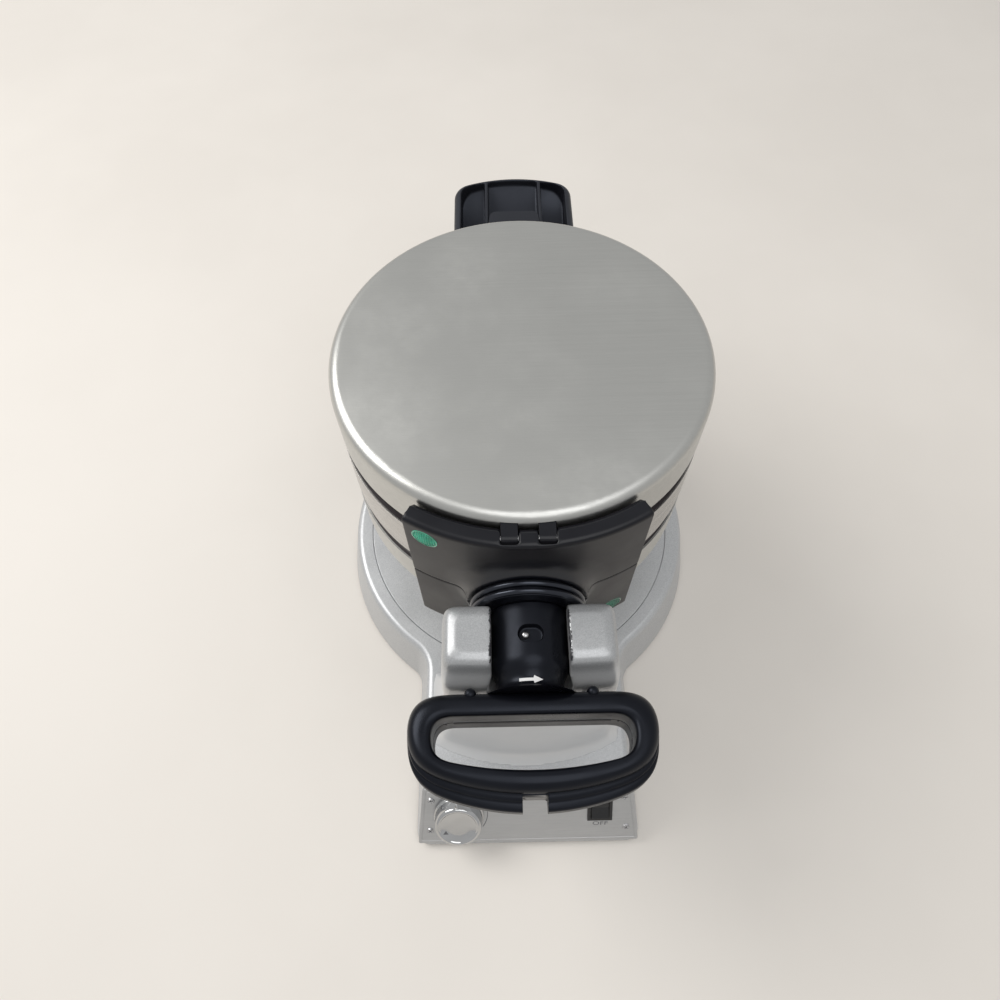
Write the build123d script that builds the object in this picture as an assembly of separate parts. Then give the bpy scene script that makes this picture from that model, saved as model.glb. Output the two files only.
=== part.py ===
from build123d import *
import math
import os

# Double belgian waffle maker: a round head with two waffle cavities, turned in a yoke on a low stand.
# Millimetres, Z up. The origin is on the floor at the middle of the whole footprint.
# Head pieces are drawn about the head's centre, with Y along the turning axis and the cook at -Y.
# Stand pieces are drawn about the point on the floor below that centre.

# Overall layout
axis_height = 175.0
band_radius = 103.0
rear_length = 86.0
grip_depth = 53.0

# Clearances
running_gap = 0.3
journal_gap = 0.08
pin_gap = 0.06
seat_gap = 0.05
screw_gap = 0.1

# Cooking plates: one casting, used four times
parting_height = 21.5
closed_gap = 0.4
cavity_margin = 17.0
mouth_margin = 14.5
flange_margin = 6.5
plate_depth = 12.0
plate_wall = 2.2
plate_ledge = 4.0
plate_ledge_thickness = 1.0
flange_thickness = 4.3
tooth_pitch = 20.0
tooth_width = 12.5
tooth_height = 8.5
tooth_draft = 11.0
tooth_edge_margin = 2.0
divider_width = 3.0
divider_height = 6.5
divider_draft = 8.0
land_width = 9.0
stud_margin = 9.3
stud_count = 6
stud_start_angle = 30.0
stud_radius = 1.5
stud_cover = 1.2

# Heating elements
heater_circle = 60.0
heater_tube_radius = 3.3
heater_gap_angle = 40.0
thermostat_radius = 9.0

# Middle unit
sheet = 1.0
frame_thickness = 11.0
wiring_hole_radius = 6.0

# Lids
lid_half_height = 59.0
lid_rim_round = 6.0
ring_margin = 2.0
cover_bottom = 29.0
ring_shoulder = 5.0
shield_thickness = 0.8
shield_rise = 13.0
shield_flange = 5.0
lid_screw_head_radius = 2.8
lid_screw_head_height = 1.8

# Lid hinges, in the housing at the cook's side
pin_stand = 5.5
pin_depth = 3.8
pin_radius = 1.8
pin_half_length = 22.0
knuckle_radius = 3.4
lug_inner_x = 5.0
lug_outer_x = 13.0
bracket_half_width = 15.0
bracket_thickness = 3.0
bracket_rise = 0.8

# Hinge housing
housing_depth = 12.0
housing_half_angle = 31.5
housing_half_height = 56.0
housing_gap = 1.0
housing_relief = 3.0
housing_edge_round = 3.0
housing_flare_round = 6.0

# Indicator lamps
lens_angle = 25.6
lens_height = 45.0
lens_radius = 7.0
lens_depth = 5.0
lens_dome = 0.9
lamp_radius = 2.6
lamp_length = 4.6

# Neck
collar_radius = 30.0
collar_stand = 3.5
collar_length = 8.1
bead_radius = 1.9
journal_radius = 20.0
spigot_radius = 16.0
wiring_bore_radius = 8.0
journal_length = 30.9
neck_throat_length = 11.5
neck_throat_slope = 1.5
neck_flare_radius = 19.5
neck_flare_length = 4.5
neck_key_length = 9.0
neck_key_radius = 7.0
recess_centre_x = 0.5
recess_from_collar = 16.4
recess_length = 12.0
recess_width = 9.0
recess_floor = 16.3
neck_screw_x = -2.4
neck_screw_radius = 2.4
neck_screw_head = 1.6
neck_screw_length = 6.0

# Turn handle, a horizontal loop grip
grip_half_width = 59.3
grip_half_height = 14.0
grip_corner_round = 14.0
grip_side_length = 23.0
grip_edge_round = 7.5
grip_hole_rear_depth = 11.5
grip_hole_half_width = 45.4
grip_hole_front_depth = 35.0
grip_hole_side_depth = 28.0
grip_hole_rear_round = 8.0
grip_hole_front_round = 6.0
grip_hole_edge_round = 1.5
grip_notch_width = 11.5
grip_notch_depth = 46.5
grip_boss_x = 29.3
grip_boss_radius = 4.0
grip_boss_rear = 1.5
grip_screw_radius = 1.6
grip_screw_head_radius = 3.0
grip_screw_head_height = 2.0

# Rear handle and the lift tabs of the lids
rear_half_width = 40.0
rear_corner_round = 13.0
rear_corner_length = 9.0
rear_half_height = 21.4
rear_edge_round = 5.0
rear_wall = 4.6
rear_fin_x = 18.0
rear_fin_thickness = 2.2
rear_floor = 3.0
scoop_floor = 8.0
scoop_length = 39.0
scoop_sag = 4.0
scoop_bend = 0.3
scoop_end_height = 17.0
rear_screw_x = 28.0
rear_screw_stand = 15.0
rear_screw_radius = 1.8
rear_screw_head_radius = 3.4
rear_screw_head_height = 2.2
tab_half_width = 18.4
tab_tip_half_width = 15.6
tab_length = 47.0
tab_flat_length = 18.0
tab_root = 8.0
tab_slope_start = 12.0
tab_thickness = 6.0
tab_tip_thickness = 3.6
tab_corner_round = 5.0

# Base
base_spread = 25.0
base_height = 40.0
base_draft = 10.7
base_lift = 2.0
base_wall = 2.6
base_edge_round = 5.0
trunk_half_width = 73.0
trunk_length = 89.6
trunk_corner_round = 9.0
trunk_throat_round = 15.0
deck_margin = 6.4
deck_recess = 1.8
deck_thickness = 2.2
cover_thickness = 2.0
foot_radius = 9.0
foot_plug_radius = 4.0
foot_plug_height = 3.0
foot_inset = 20.0
foot_start_angle = 30.0
front_foot_x = 52.0
front_foot_inset = 21.6
base_screw_inset = 32.0
base_screw_count = 5
base_screw_radius = 1.6
base_screw_head_radius = 3.2
base_screw_head_height = 1.5
base_screw_recess = 0.5
base_screw_length = 11.0
base_boss_radius = 4.5
gland_height = 15.0
gland_radius = 7.0
gland_flange_radius = 9.0
gland_flange_thickness = 2.2
gland_hole_radius = 3.6
gland_inner_length = 12.0

# Pedestal with its yoke
pedestal_top = 196.0
yoke_slot_half_width = 18.8
bearing_inset = 6.5
bearing_length = 17.0
bearing_wall = 1.9
pedestal_edge_round = 3.0
pedestal_screw_radius = 2.0
pedestal_screw_head_radius = 3.8
pedestal_screw_head_height = 2.0
pedestal_screw_length = 14.0
pedestal_screw_x = 38.0
pedestal_screw_front = -23.4
pedestal_screw_rear = -3.4

# Each pedestal section: height, half width, then from the collar's front the rear, the front at the
# sides and the front at the middle
pedestal_foot = (base_height, 57.0, 9.6, -30.4, -45.4)
pedestal_ankle = (62.0, 50.5, 4.6, -27.4, -37.4)
pedestal_waist = (120.0, 46.0, -1.0, -30.4, -34.9)
pedestal_crown = (pedestal_top, 41.0, -3.0, -24.9, -26.9)

# Control panel
panel_foot_height = 6.0
panel_slope = 49.8
panel_half_width = 67.5
panel_top_half_width = 64.5
panel_length = 42.0
panel_margin = 1.4
panel_thickness = 1.6
panel_recess = 1.1
panel_corner_round = 3.0
panel_screw_radius = 1.3
panel_screw_head_radius = 2.3
panel_screw_head_height = 0.9
panel_screw_length = 5.0
panel_screw_inset = 3.8
panel_screw_low = 10.0
panel_screw_high = 34.0

# Browning control and power switch, placed on the panel
knob_x = -44.0
knob_up_slope = 23.0
knob_radius = 16.0
knob_height = 12.0
knob_draft = 1.4
knob_edge_round = 1.8
knob_dish_radius = 11.5
knob_dish_depth = 0.8
shaft_radius = 3.0
shaft_bush_radius = 4.5
control_body_radius = 10.0
control_body_length = 9.0
control_nut_radius = 7.0
control_nut_thickness = 2.0
switch_x = 46.0
switch_up_slope = 26.5
switch_width = 16.0
switch_length = 21.0
switch_bezel = 1.4
switch_body_width = 12.8
switch_body_length = 18.8
switch_body_depth = 12.0
rocker_width = 11.0
rocker_length = 15.0
rocker_swing = 14.0
rocker_well = 6.5
rocker_pivot_radius = 1.2
rocker_pivot_drop = 1.0
rocker_gap = 0.35

# Places worked out from the values above
plate_radius = band_radius - flange_margin
cavity_radius = band_radius - cavity_margin
mouth_radius = band_radius - mouth_margin
stud_circle = band_radius - stud_margin
frame_inner_radius = band_radius - sheet - frame_thickness
ring_radius = band_radius - ring_margin
housing_radius = band_radius + housing_depth
pin_y = -band_radius - pin_stand
pin_height = housing_half_height - pin_depth
bracket_top = pin_height + bracket_rise
collar_rear_y = -housing_radius - collar_stand
collar_front_y = collar_rear_y - collar_length
journal_front_y = collar_front_y - journal_length
neck_end_y = journal_front_y - neck_throat_length
recess_centre_y = collar_front_y - recess_from_collar
bearing_front_y = journal_front_y + bearing_inset
bearing_rear_y = bearing_front_y + bearing_length
front_reach = grip_depth - neck_end_y
rear_reach = band_radius + rear_length
tab_tip_y = ring_radius + tab_length
base_radius = band_radius + base_spread
trunk_front_y = -base_radius - trunk_length
deck_radius = band_radius + deck_margin
head_y = (front_reach - rear_reach) / 2
plate_face = parting_height - closed_gap / 2
frame_half_height = plate_face - flange_thickness
plate_back = plate_face - plate_depth - plate_wall
land_height = plate_back - heater_tube_radius - seat_gap
lid_plate_face = parting_height + closed_gap / 2
lid_plate_back = lid_plate_face + plate_depth + plate_wall
lid_ledge = lid_plate_face + flange_thickness
ring_bottom = lid_plate_face + running_gap
ring_top = cover_bottom + ring_shoulder
lid_heater_height = lid_plate_back + land_height + seat_gap + heater_tube_radius
trough_radius = journal_radius + running_gap
panel_y = trunk_front_y + panel_foot_height * math.tan(math.radians(base_draft))

head_frame = Location((0, head_y, axis_height))
stand_frame = Location((0, head_y, 0))
flip = Rotation(0, 180, 0)
panel_plane = Plane(
    origin=(0, panel_y, panel_foot_height),
    x_dir=(1, 0, 0),
    z_dir=(0, -math.sin(math.radians(panel_slope)), math.cos(math.radians(panel_slope))),
)
knob_seat = panel_plane.location * Location((knob_x, knob_up_slope, 0))
switch_seat = panel_plane.location * Location((switch_x, switch_up_slope, 0))


# Shared shapes

def ring(outer, inner, low, high):
    band = Cylinder(outer, high - low) - Cylinder(inner, high - low)
    return Location((0, 0, (low + high) / 2)) * band


def slab(x0, x1, y0, y1, z0, z1):
    return Location(((x0 + x1) / 2, (y0 + y1) / 2, (z0 + z1) / 2)) * Box(x1 - x0, y1 - y0, z1 - z0)


def rod_up(radius, low, high, x=0, y=0):
    return Location((x, y, (low + high) / 2)) * Cylinder(radius, high - low)


def rod_along_y(radius, y0, y1, x=0, z=0):
    return Location((x, (y0 + y1) / 2, z)) * Rotation(90, 0, 0) * Cylinder(radius, abs(y1 - y0))


def rod_along_x(radius, x0, x1, y, z):
    return Location(((x0 + x1) / 2, y, z)) * Rotation(0, 90, 0) * Cylinder(radius, x1 - x0)


def turned(points):
    outline = make_face(Plane.XZ * Polyline(*points, close=True))
    return revolve(outline, Axis.Z)


def turned_about_y(points):
    outline = make_face(Plane.XY * Polyline(*points, close=True))
    return revolve(outline, Axis.Y)


def joined(pieces):
    return pieces[0].fuse(*pieces[1:])


def group(pieces):
    return Compound(children=list(pieces))


def around(count, radius, start=0.0):
    step = 360 / count
    angles = [math.radians(start + step * number) for number in range(count)]
    return [(radius * math.cos(angle), radius * math.sin(angle)) for angle in angles]


# Cooking plate: the parting face is at z = 0 and both castings hang below it

def cooking_grid():
    floor = -plate_depth
    back = floor - plate_wall
    edge = cavity_radius - seat_gap
    step = floor - plate_wall + plate_ledge_thickness + seat_gap
    inner = cavity_radius - plate_ledge - seat_gap
    disc = turned([(0, back), (inner, back), (inner, step), (edge, step), (edge, floor), (0, floor)])
    land = ring(heater_circle + land_width / 2, heater_circle - land_width / 2, back - land_height, back)
    return disc.fuse(land, waffle_teeth(floor), waffle_dividers(floor))


def plate_rim():
    floor = -plate_depth
    back = floor - plate_wall
    rim = turned([
        (cavity_radius - plate_ledge, back),
        (cavity_radius + plate_wall, back),
        (mouth_radius + plate_wall, -flange_thickness),
        (plate_radius, -flange_thickness),
        (plate_radius, 0),
        (mouth_radius, 0),
        (cavity_radius, floor),
        (cavity_radius, back + plate_ledge_thickness),
        (cavity_radius - plate_ledge, back + plate_ledge_thickness),
    ])
    for x, y in around(stud_count, stud_circle, stud_start_angle):
        rim -= rod_up(stud_radius + screw_gap, -flange_thickness, -stud_cover, x, y)
    return rim


def waffle_teeth(floor):
    rows = 2 * int(cavity_radius / tooth_pitch)
    limit = cavity_radius - tooth_edge_margin
    tooth = extrude(Rectangle(tooth_width, tooth_width), tooth_height, taper=tooth_draft)
    teeth = []
    for place in GridLocations(tooth_pitch, tooth_pitch, rows, rows):
        centre = math.hypot(place.position.X, place.position.Y)
        if centre < limit - tooth_width / 4:
            teeth.append(Location((0, 0, floor)) * place * tooth)
    reach = limit - tooth_height * math.tan(math.radians(tooth_draft))
    envelope = Location((0, 0, floor + tooth_height / 2)) * Cone(limit, reach, tooth_height)
    return joined([piece & envelope for piece in teeth])


def waffle_dividers(floor):
    length = 2 * (cavity_radius - tooth_edge_margin)
    bar = extrude(Rectangle(length, divider_width), divider_height, taper=divider_draft)
    bar = Location((0, 0, floor)) * bar
    return bar + Rotation(0, 0, 90) * bar


def heater(height):
    tube = Torus(heater_circle, heater_tube_radius, major_angle=360 - heater_gap_angle)
    turn = Rotation(0, 0, -90 + heater_gap_angle / 2)
    return Location((0, 0, height)) * turn * tube


# Middle unit

def middle_unit():
    upper_grid = Location((0, 0, plate_face)) * cooking_grid()
    upper_rim = Location((0, 0, plate_face)) * plate_rim()
    band = ring(band_radius, band_radius - sheet, -frame_half_height, frame_half_height)
    frame = ring(band_radius - sheet, frame_inner_radius, -frame_half_height, frame_half_height)
    wiring = rod_along_y(wiring_hole_radius, -2 * band_radius, 0)
    band -= wiring
    frame -= wiring
    stud_end = plate_face - stud_cover - seat_gap
    studs = []
    for x, y in around(stud_count, stud_circle, stud_start_angle):
        frame -= rod_up(stud_radius + screw_gap, -frame_half_height, frame_half_height, x, y)
        studs.append(rod_up(stud_radius, -stud_end, stud_end, x, y))
    capsule_half = plate_back - seat_gap
    return {
        "middle_band": band,
        "middle_frame": frame,
        "middle_upper_grid": upper_grid,
        "middle_lower_grid": flip * upper_grid,
        "middle_upper_rim": upper_rim,
        "middle_lower_rim": flip * upper_rim,
        "middle_heater": heater(0),
        "middle_thermostat": rod_up(thermostat_radius, -capsule_half, capsule_half),
        "middle_plate_studs": group(studs),
    }


# Lids, drawn as the top one

def lid_cover():
    outer = [
        (0, cover_bottom),
        (band_radius, cover_bottom),
        (band_radius, lid_half_height),
        (0, lid_half_height),
    ]
    inner = [
        (0, cover_bottom),
        (band_radius - sheet, cover_bottom),
        (band_radius - sheet, lid_half_height - sheet),
        (0, lid_half_height - sheet),
    ]
    shell = rounded_drum(outer, lid_rim_round) - rounded_drum(inner, lid_rim_round - sheet)
    for side in (-1, 1):
        edges = sorted((side * (lug_inner_x - running_gap), side * (lug_outer_x + running_gap)))
        reach = knuckle_radius + running_gap
        shell -= slab(*edges, pin_y, bracket_half_width - band_radius, pin_height - reach, pin_height + reach)
    return shell


def rounded_drum(points, radius):
    outline = make_face(Plane.XZ * Polyline(*points, close=True))
    corner = outline.vertices().sort_by(Axis.Z)[-2:].sort_by(Axis.X)[-1]
    return revolve(fillet(corner, radius), Axis.Z)


def lid_ring():
    body = turned([
        (plate_radius + running_gap, ring_bottom),
        (ring_radius, ring_bottom),
        (ring_radius, cover_bottom),
        (band_radius - sheet - seat_gap, cover_bottom),
        (band_radius - sheet - seat_gap, ring_top),
        (frame_inner_radius, ring_top),
        (frame_inner_radius, lid_ledge),
        (plate_radius + running_gap, lid_ledge),
    ])
    for x, y in around(stud_count, stud_circle, stud_start_angle):
        body -= rod_up(stud_radius + screw_gap, lid_ledge, ring_top, x, y)
    return body


def lid_shield():
    low = ring_top
    flange_end = frame_inner_radius + shield_flange
    shoulder = frame_inner_radius - 1.0
    crown = shoulder - shield_rise / 3
    top = low + shield_rise
    pan = turned([
        (0, top),
        (crown, top),
        (shoulder, low),
        (flange_end, low),
        (flange_end, low + shield_thickness),
        (shoulder + shield_thickness, low + shield_thickness),
        (crown + shield_thickness, top + shield_thickness),
        (0, top + shield_thickness),
    ])
    for x, y in around(stud_count, stud_circle, stud_start_angle):
        pan -= rod_up(stud_radius + screw_gap, low, low + shield_thickness, x, y)
    return pan


def lid_screws():
    tip = lid_plate_face + stud_cover + seat_gap
    seat = ring_top + shield_thickness
    screws = []
    for x, y in around(stud_count, stud_circle, stud_start_angle):
        shank = rod_up(stud_radius, tip, seat, x, y)
        head = rod_up(lid_screw_head_radius, seat, seat + lid_screw_head_height, x, y)
        screws.append(shank + head)
    return group(screws)


def lid_bracket():
    inside_y = running_gap - math.sqrt((band_radius - sheet) ** 2 - bracket_half_width ** 2)
    rear_y = inside_y + bracket_thickness
    bracket = slab(-bracket_half_width, bracket_half_width, inside_y, rear_y, ring_top, bracket_top)
    knuckle = Circle(knuckle_radius).edges()
    root = Pos((inside_y + rear_y) / 2 - pin_y, 0) * Rectangle(bracket_thickness, 2 * knuckle_radius)
    outline = make_hull([*knuckle, *root.edges()])
    for side in (-1, 1):
        x0, x1 = sorted((side * lug_inner_x, side * lug_outer_x))
        face = Plane(origin=(x0, pin_y, pin_height), x_dir=(0, 1, 0), z_dir=(1, 0, 0)) * outline
        bracket += extrude(face, x1 - x0)
    return bracket - rod_along_x(pin_radius + pin_gap, -bracket_half_width, bracket_half_width, pin_y, pin_height)


def lift_tab():
    low = ring_bottom
    root = ring_radius - tab_root
    flat_end = ring_radius + tab_flat_length
    plan = make_face(Polyline(
        (-tab_half_width, root),
        (tab_half_width, root),
        (tab_half_width, flat_end),
        (tab_tip_half_width, tab_tip_y),
        (-tab_tip_half_width, tab_tip_y),
        (-tab_half_width, flat_end),
        close=True,
    ))
    plan = fillet(plan.vertices().sort_by(Axis.Y)[-2:], tab_corner_round)
    blank = Location((0, 0, low)) * extrude(plan, tab_thickness)
    blank -= ring(ring_radius, 1, low - 1, low + tab_thickness + 1)
    side_view = make_face(Plane.YZ * Polyline(
        (root, low),
        (root, low + tab_thickness),
        (ring_radius + tab_slope_start, low + tab_thickness),
        (tab_tip_y + 1, low + tab_tip_thickness),
        (tab_tip_y + 1, low),
        close=True,
    ))
    profile = extrude(side_view, tab_half_width + 1, both=True)
    return blank & profile


def lid(prefix):
    facing_down = Location((0, 0, lid_plate_face)) * flip
    pieces = {
        "cover": lid_cover(),
        "ring": lid_ring(),
        "waffle_grid": facing_down * cooking_grid(),
        "plate_rim": facing_down * plate_rim(),
        "heater": heater(lid_heater_height),
        "heat_shield": lid_shield(),
        "screws": lid_screws(),
        "hinge_bracket": lid_bracket(),
        "lift_tab": lift_tab(),
    }
    return {prefix + "_" + name: piece for name, piece in pieces.items()}


# Hinge housing with the indicator lamps

def housing_block():
    half = housing_half_height
    wedge_reach = housing_radius * 2
    wedge = make_face(Polyline(
        (0, 0),
        (-wedge_reach * math.sin(math.radians(housing_half_angle)),
         -wedge_reach * math.cos(math.radians(housing_half_angle))),
        (wedge_reach * math.sin(math.radians(housing_half_angle)),
         -wedge_reach * math.cos(math.radians(housing_half_angle))),
        close=True,
    ))
    plan = Circle(housing_radius) & wedge
    outer = extrude(plan, half, both=True)
    arc = outer.edges().filter_by(GeomType.CIRCLE)
    ends = outer.edges().filter_by(Axis.Z).sort_by(Axis.Y)[:2]
    outer = fillet(arc + ends, housing_edge_round)
    lid_space = Cylinder(band_radius + housing_gap, 2 * half + 2)
    inner = band_radius + housing_gap
    waist = ring(inner + housing_gap, band_radius + seat_gap, -frame_half_height, frame_half_height)
    waist = waist & extrude(plan, half, both=True)
    relief = turned([
        (band_radius, half - housing_relief),
        (inner, half - housing_relief),
        (inner + housing_relief, half),
        (inner + housing_relief, half + 1),
        (band_radius, half + 1),
    ])
    block = outer - lid_space - relief - flip * relief + waist
    stub = rod_along_y(collar_radius, -band_radius - housing_depth / 3, collar_rear_y)
    block = block + stub
    seam = [
        edge for edge in block.edges()
        if abs(math.hypot((edge @ 0).X, (edge @ 0).Z) - collar_radius) < seat_gap
        and (edge @ 0).Y > collar_rear_y + collar_stand / 2
    ]
    block = fillet(ShapeList(seam), housing_flare_round)
    return block - rod_along_y(spigot_radius + seat_gap, -band_radius + 1, collar_rear_y - 1)


def hinge_cuts(height):
    reach = knuckle_radius + running_gap
    cuts = [rod_along_x(pin_radius + pin_gap, -pin_half_length - 0.2, pin_half_length + 0.2, pin_y, height)]
    for side in (-1, 1):
        x0, x1 = sorted((side * (lug_inner_x - running_gap), side * (lug_outer_x + running_gap)))
        front = pin_y - reach - 0.7
        cuts.append(slab(x0, x1, front, -band_radius + 1, height - reach, housing_half_height + 1))
    return cuts


def lens_place():
    return Rotation(0, 0, -lens_angle) * Location((0, -housing_radius, lens_height)) * Rotation(90, 0, 0)


def indicator():
    seat = lens_place()
    body = Location((0, 0, -lens_depth / 2)) * Cylinder(lens_radius - screw_gap, lens_depth)
    ball_radius = ((lens_radius - screw_gap) ** 2 + lens_dome ** 2) / (2 * lens_dome)
    ball = Location((0, 0, lens_dome - ball_radius)) * Sphere(ball_radius)
    cap = ball & (Location((0, 0, lens_dome / 2)) * Cylinder(lens_radius - screw_gap, lens_dome))
    bulb = Location((0, 0, -lens_depth - lamp_length / 2 - seat_gap)) * Cylinder(lamp_radius, lamp_length)
    return seat * (body + cap), seat * bulb


def housing():
    block = housing_block()
    upper = block & slab(-housing_radius, housing_radius, collar_rear_y - 1, 0, 0, housing_half_height + 1)
    for cut in hinge_cuts(pin_height):
        upper -= cut
    lens, bulb = indicator()
    pocket = Location((0, 0, -lens_depth / 2)) * Cylinder(lens_radius, lens_depth + 2 * seat_gap)
    cell = Location((0, 0, -lens_depth - lamp_length / 2)) * Cylinder(lamp_radius + screw_gap, lamp_length + 1)
    upper -= lens_place() * (Location((0, 0, seat_gap)) * pocket)
    upper -= lens_place() * (Location((0, 0, lens_depth)) * Cylinder(lens_radius, 2 * lens_depth))
    upper -= lens_place() * cell
    pin = rod_along_x(pin_radius, -pin_half_length, pin_half_length, pin_y, pin_height)
    return {
        "hinge_housing_upper": upper,
        "hinge_housing_lower": flip * upper,
        "upper_indicator_lens": lens,
        "lower_indicator_lens": flip * lens,
        "upper_indicator_lamp": bulb,
        "lower_indicator_lamp": flip * bulb,
        "upper_hinge_pin": pin,
        "lower_hinge_pin": flip * pin,
    }


# Neck and turn handle

def neck():
    inner_end = -band_radius - seat_gap
    tube = turned_about_y([
        (wiring_bore_radius, inner_end),
        (spigot_radius, inner_end),
        (spigot_radius, collar_front_y),
        (journal_radius, collar_front_y),
        (journal_radius, journal_front_y),
        (spigot_radius, journal_front_y - neck_throat_slope),
        (spigot_radius, neck_end_y + neck_flare_length),
        (neck_flare_radius, neck_end_y),
        (neck_key_radius, neck_end_y),
        (neck_key_radius, neck_end_y - neck_key_length),
        (0, neck_end_y - neck_key_length),
        (0, neck_end_y + neck_flare_length),
        (wiring_bore_radius, neck_end_y + neck_flare_length),
    ])
    pocket = extrude(SlotOverall(recess_length, recess_width), journal_radius)
    tube -= Location((recess_centre_x, recess_centre_y, recess_floor)) * pocket
    hole_low = recess_floor - neck_screw_length
    tube -= rod_up(stud_radius + screw_gap, hole_low, recess_floor, neck_screw_x, recess_centre_y)
    shank = rod_up(stud_radius, hole_low, recess_floor, neck_screw_x, recess_centre_y)
    head_top = recess_floor + neck_screw_head
    screw = shank + rod_up(neck_screw_radius, recess_floor, head_top, neck_screw_x, recess_centre_y)
    return {"neck_tube": tube, "neck_screw": screw, "neck_collar": collar()}


def collar():
    body = rod_along_y(collar_radius - bead_radius, collar_front_y, collar_rear_y)
    bead_span = (collar_rear_y - collar_front_y) / 2
    for number in range(2):
        y = collar_rear_y - bead_span * (number + 0.5)
        bead = Location((0, y, 0)) * Rotation(90, 0, 0) * Torus(collar_radius - bead_radius, bead_radius)
        body += bead
    return body - rod_along_y(spigot_radius + seat_gap, collar_front_y - 1, collar_rear_y + 1)


def loop_outline(half_width, rear_y, side_end_y, front_y, rear_round, front_round):
    sides = Polyline(
        (-half_width, side_end_y), (-half_width, rear_y), (half_width, rear_y), (half_width, side_end_y)
    )
    front = ThreePointArc((half_width, side_end_y), (0, front_y), (-half_width, side_end_y))
    face = make_face(sides + front)
    face = fillet(face.vertices().group_by(Axis.Y)[-1], rear_round)
    return fillet(face.vertices().group_by(Axis.Y)[0], front_round)


def grip_shell():
    outer = loop_outline(
        grip_half_width, neck_end_y, neck_end_y - grip_side_length, -front_reach,
        grip_corner_round, grip_corner_round,
    )
    blank = extrude(outer, grip_half_height)
    blank = fillet(blank.faces().sort_by(Axis.Z)[-1].edges(), grip_edge_round)
    hole = loop_outline(
        grip_hole_half_width, neck_end_y - grip_hole_rear_depth, neck_end_y - grip_hole_side_depth,
        neck_end_y - grip_hole_front_depth, grip_hole_rear_round, grip_hole_front_round,
    )
    shell = blank - extrude(hole, grip_half_height)
    top = shell.faces().sort_by(Axis.Z)[-1]
    shell = fillet(top.inner_wires()[0].edges(), grip_hole_edge_round)
    for side in (-1, 1):
        boss_top = grip_half_height - grip_edge_round / 2
        shell += rod_up(grip_boss_radius, 0, boss_top, side * grip_boss_x, neck_end_y - grip_boss_rear)
    half_notch = grip_notch_width / 2
    shell -= slab(-half_notch, half_notch, -front_reach - 1, neck_end_y - grip_notch_depth, -1, grip_half_height)
    key_end = neck_end_y - neck_key_length - seat_gap
    return shell - rod_along_y(neck_key_radius + seat_gap, key_end, neck_end_y + 5)


def turn_handle():
    shell = grip_shell()
    screw_y = neck_end_y - grip_boss_radius - grip_boss_rear
    upper = shell
    lower = flip * shell
    tip = grip_half_height - 5
    head_low = -grip_half_height + 1
    screws = []
    for side in (-1, 1):
        x = side * grip_boss_x
        upper -= rod_up(grip_screw_radius + screw_gap, 0, tip + seat_gap, x, screw_y)
        lower -= rod_up(grip_screw_radius + screw_gap, -grip_half_height, 0, x, screw_y)
        pocket_top = head_low + grip_screw_head_height
        lower -= rod_up(grip_screw_head_radius + screw_gap, -grip_half_height - 1, pocket_top, x, screw_y)
        shank = rod_up(grip_screw_radius, pocket_top, tip, x, screw_y)
        screws.append(shank + rod_up(grip_screw_head_radius, head_low, pocket_top, x, screw_y))
    return {
        "turn_handle_upper": upper,
        "turn_handle_lower": lower,
        "turn_handle_screws": group(screws),
    }


# Rear handle

def rear_plan(inset):
    half = rear_half_width - inset
    side_end = rear_reach - rear_corner_length
    face = make_face(
        Polyline((-half, side_end), (-half, 0), (half, 0), (half, side_end))
        + ThreePointArc((half, side_end), (0, rear_reach - inset), (-half, side_end))
    )
    far = face.vertices().group_by(Axis.Y)[-1]
    return fillet(far, rear_corner_round - inset / 2)


def scoop_tool(x0, x1, floor, rise):
    far = rear_reach - rear_wall
    near = band_radius + pin_stand
    top = rear_half_height + 1
    start = rear_reach - scoop_length
    middle = ((start + far) / 2 + scoop_sag, floor + (rise - floor) * scoop_bend)
    profile = make_face(Plane.YZ * (
        Polyline((far, top), (near, top), (near, floor), (start, floor))
        + ThreePointArc((start, floor), middle, (far, rise))
        + Line((far, rise), (far, top))
    ))
    return Location((x0, 0, 0)) * extrude(profile, x1 - x0)


def rear_shell():
    blank = extrude(rear_plan(0), rear_half_height)
    blank = fillet(blank.faces().sort_by(Axis.Z)[-1].edges(), rear_edge_round)
    blank -= Cylinder(band_radius + seat_gap, 2 * frame_half_height)
    lid_space = rod_up(band_radius + housing_gap, frame_half_height, rear_half_height + 1)
    blank -= lid_space
    inside = extrude(rear_plan(rear_wall), 2 * rear_half_height)
    fin_in = rear_fin_x - rear_fin_thickness / 2
    fin_out = rear_fin_x + rear_fin_thickness / 2
    scoops = [
        scoop_tool(-fin_in, fin_in, scoop_floor, scoop_end_height),
        scoop_tool(-rear_half_width, -fin_out, rear_floor, scoop_end_height),
        scoop_tool(fin_out, rear_half_width, rear_floor, scoop_end_height),
    ]
    for scoop in scoops:
        blank -= scoop & inside
    return blank


def rear_handle():
    shell = rear_shell()
    upper = shell
    lower = flip * shell
    screws = []
    screw_y = band_radius + rear_screw_stand
    for side in (-1, 1):
        x = side * rear_screw_x
        upper -= rod_up(rear_screw_radius + screw_gap, 0, rear_floor, x, screw_y)
        lower -= rod_up(rear_screw_radius + screw_gap, -rear_floor, 0, x, screw_y)
        shank = rod_up(rear_screw_radius, -rear_floor, rear_floor, x, screw_y)
        nut_top = rear_floor + rear_screw_head_height
        head = rod_up(rear_screw_head_radius, -nut_top, -rear_floor, x, screw_y)
        nut = rod_up(rear_screw_head_radius, rear_floor, nut_top, x, screw_y)
        screws.append(shank + head + nut)
    return {
        "rear_handle_upper": upper,
        "rear_handle_lower": lower,
        "rear_handle_screws": group(screws),
    }


# Base

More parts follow.
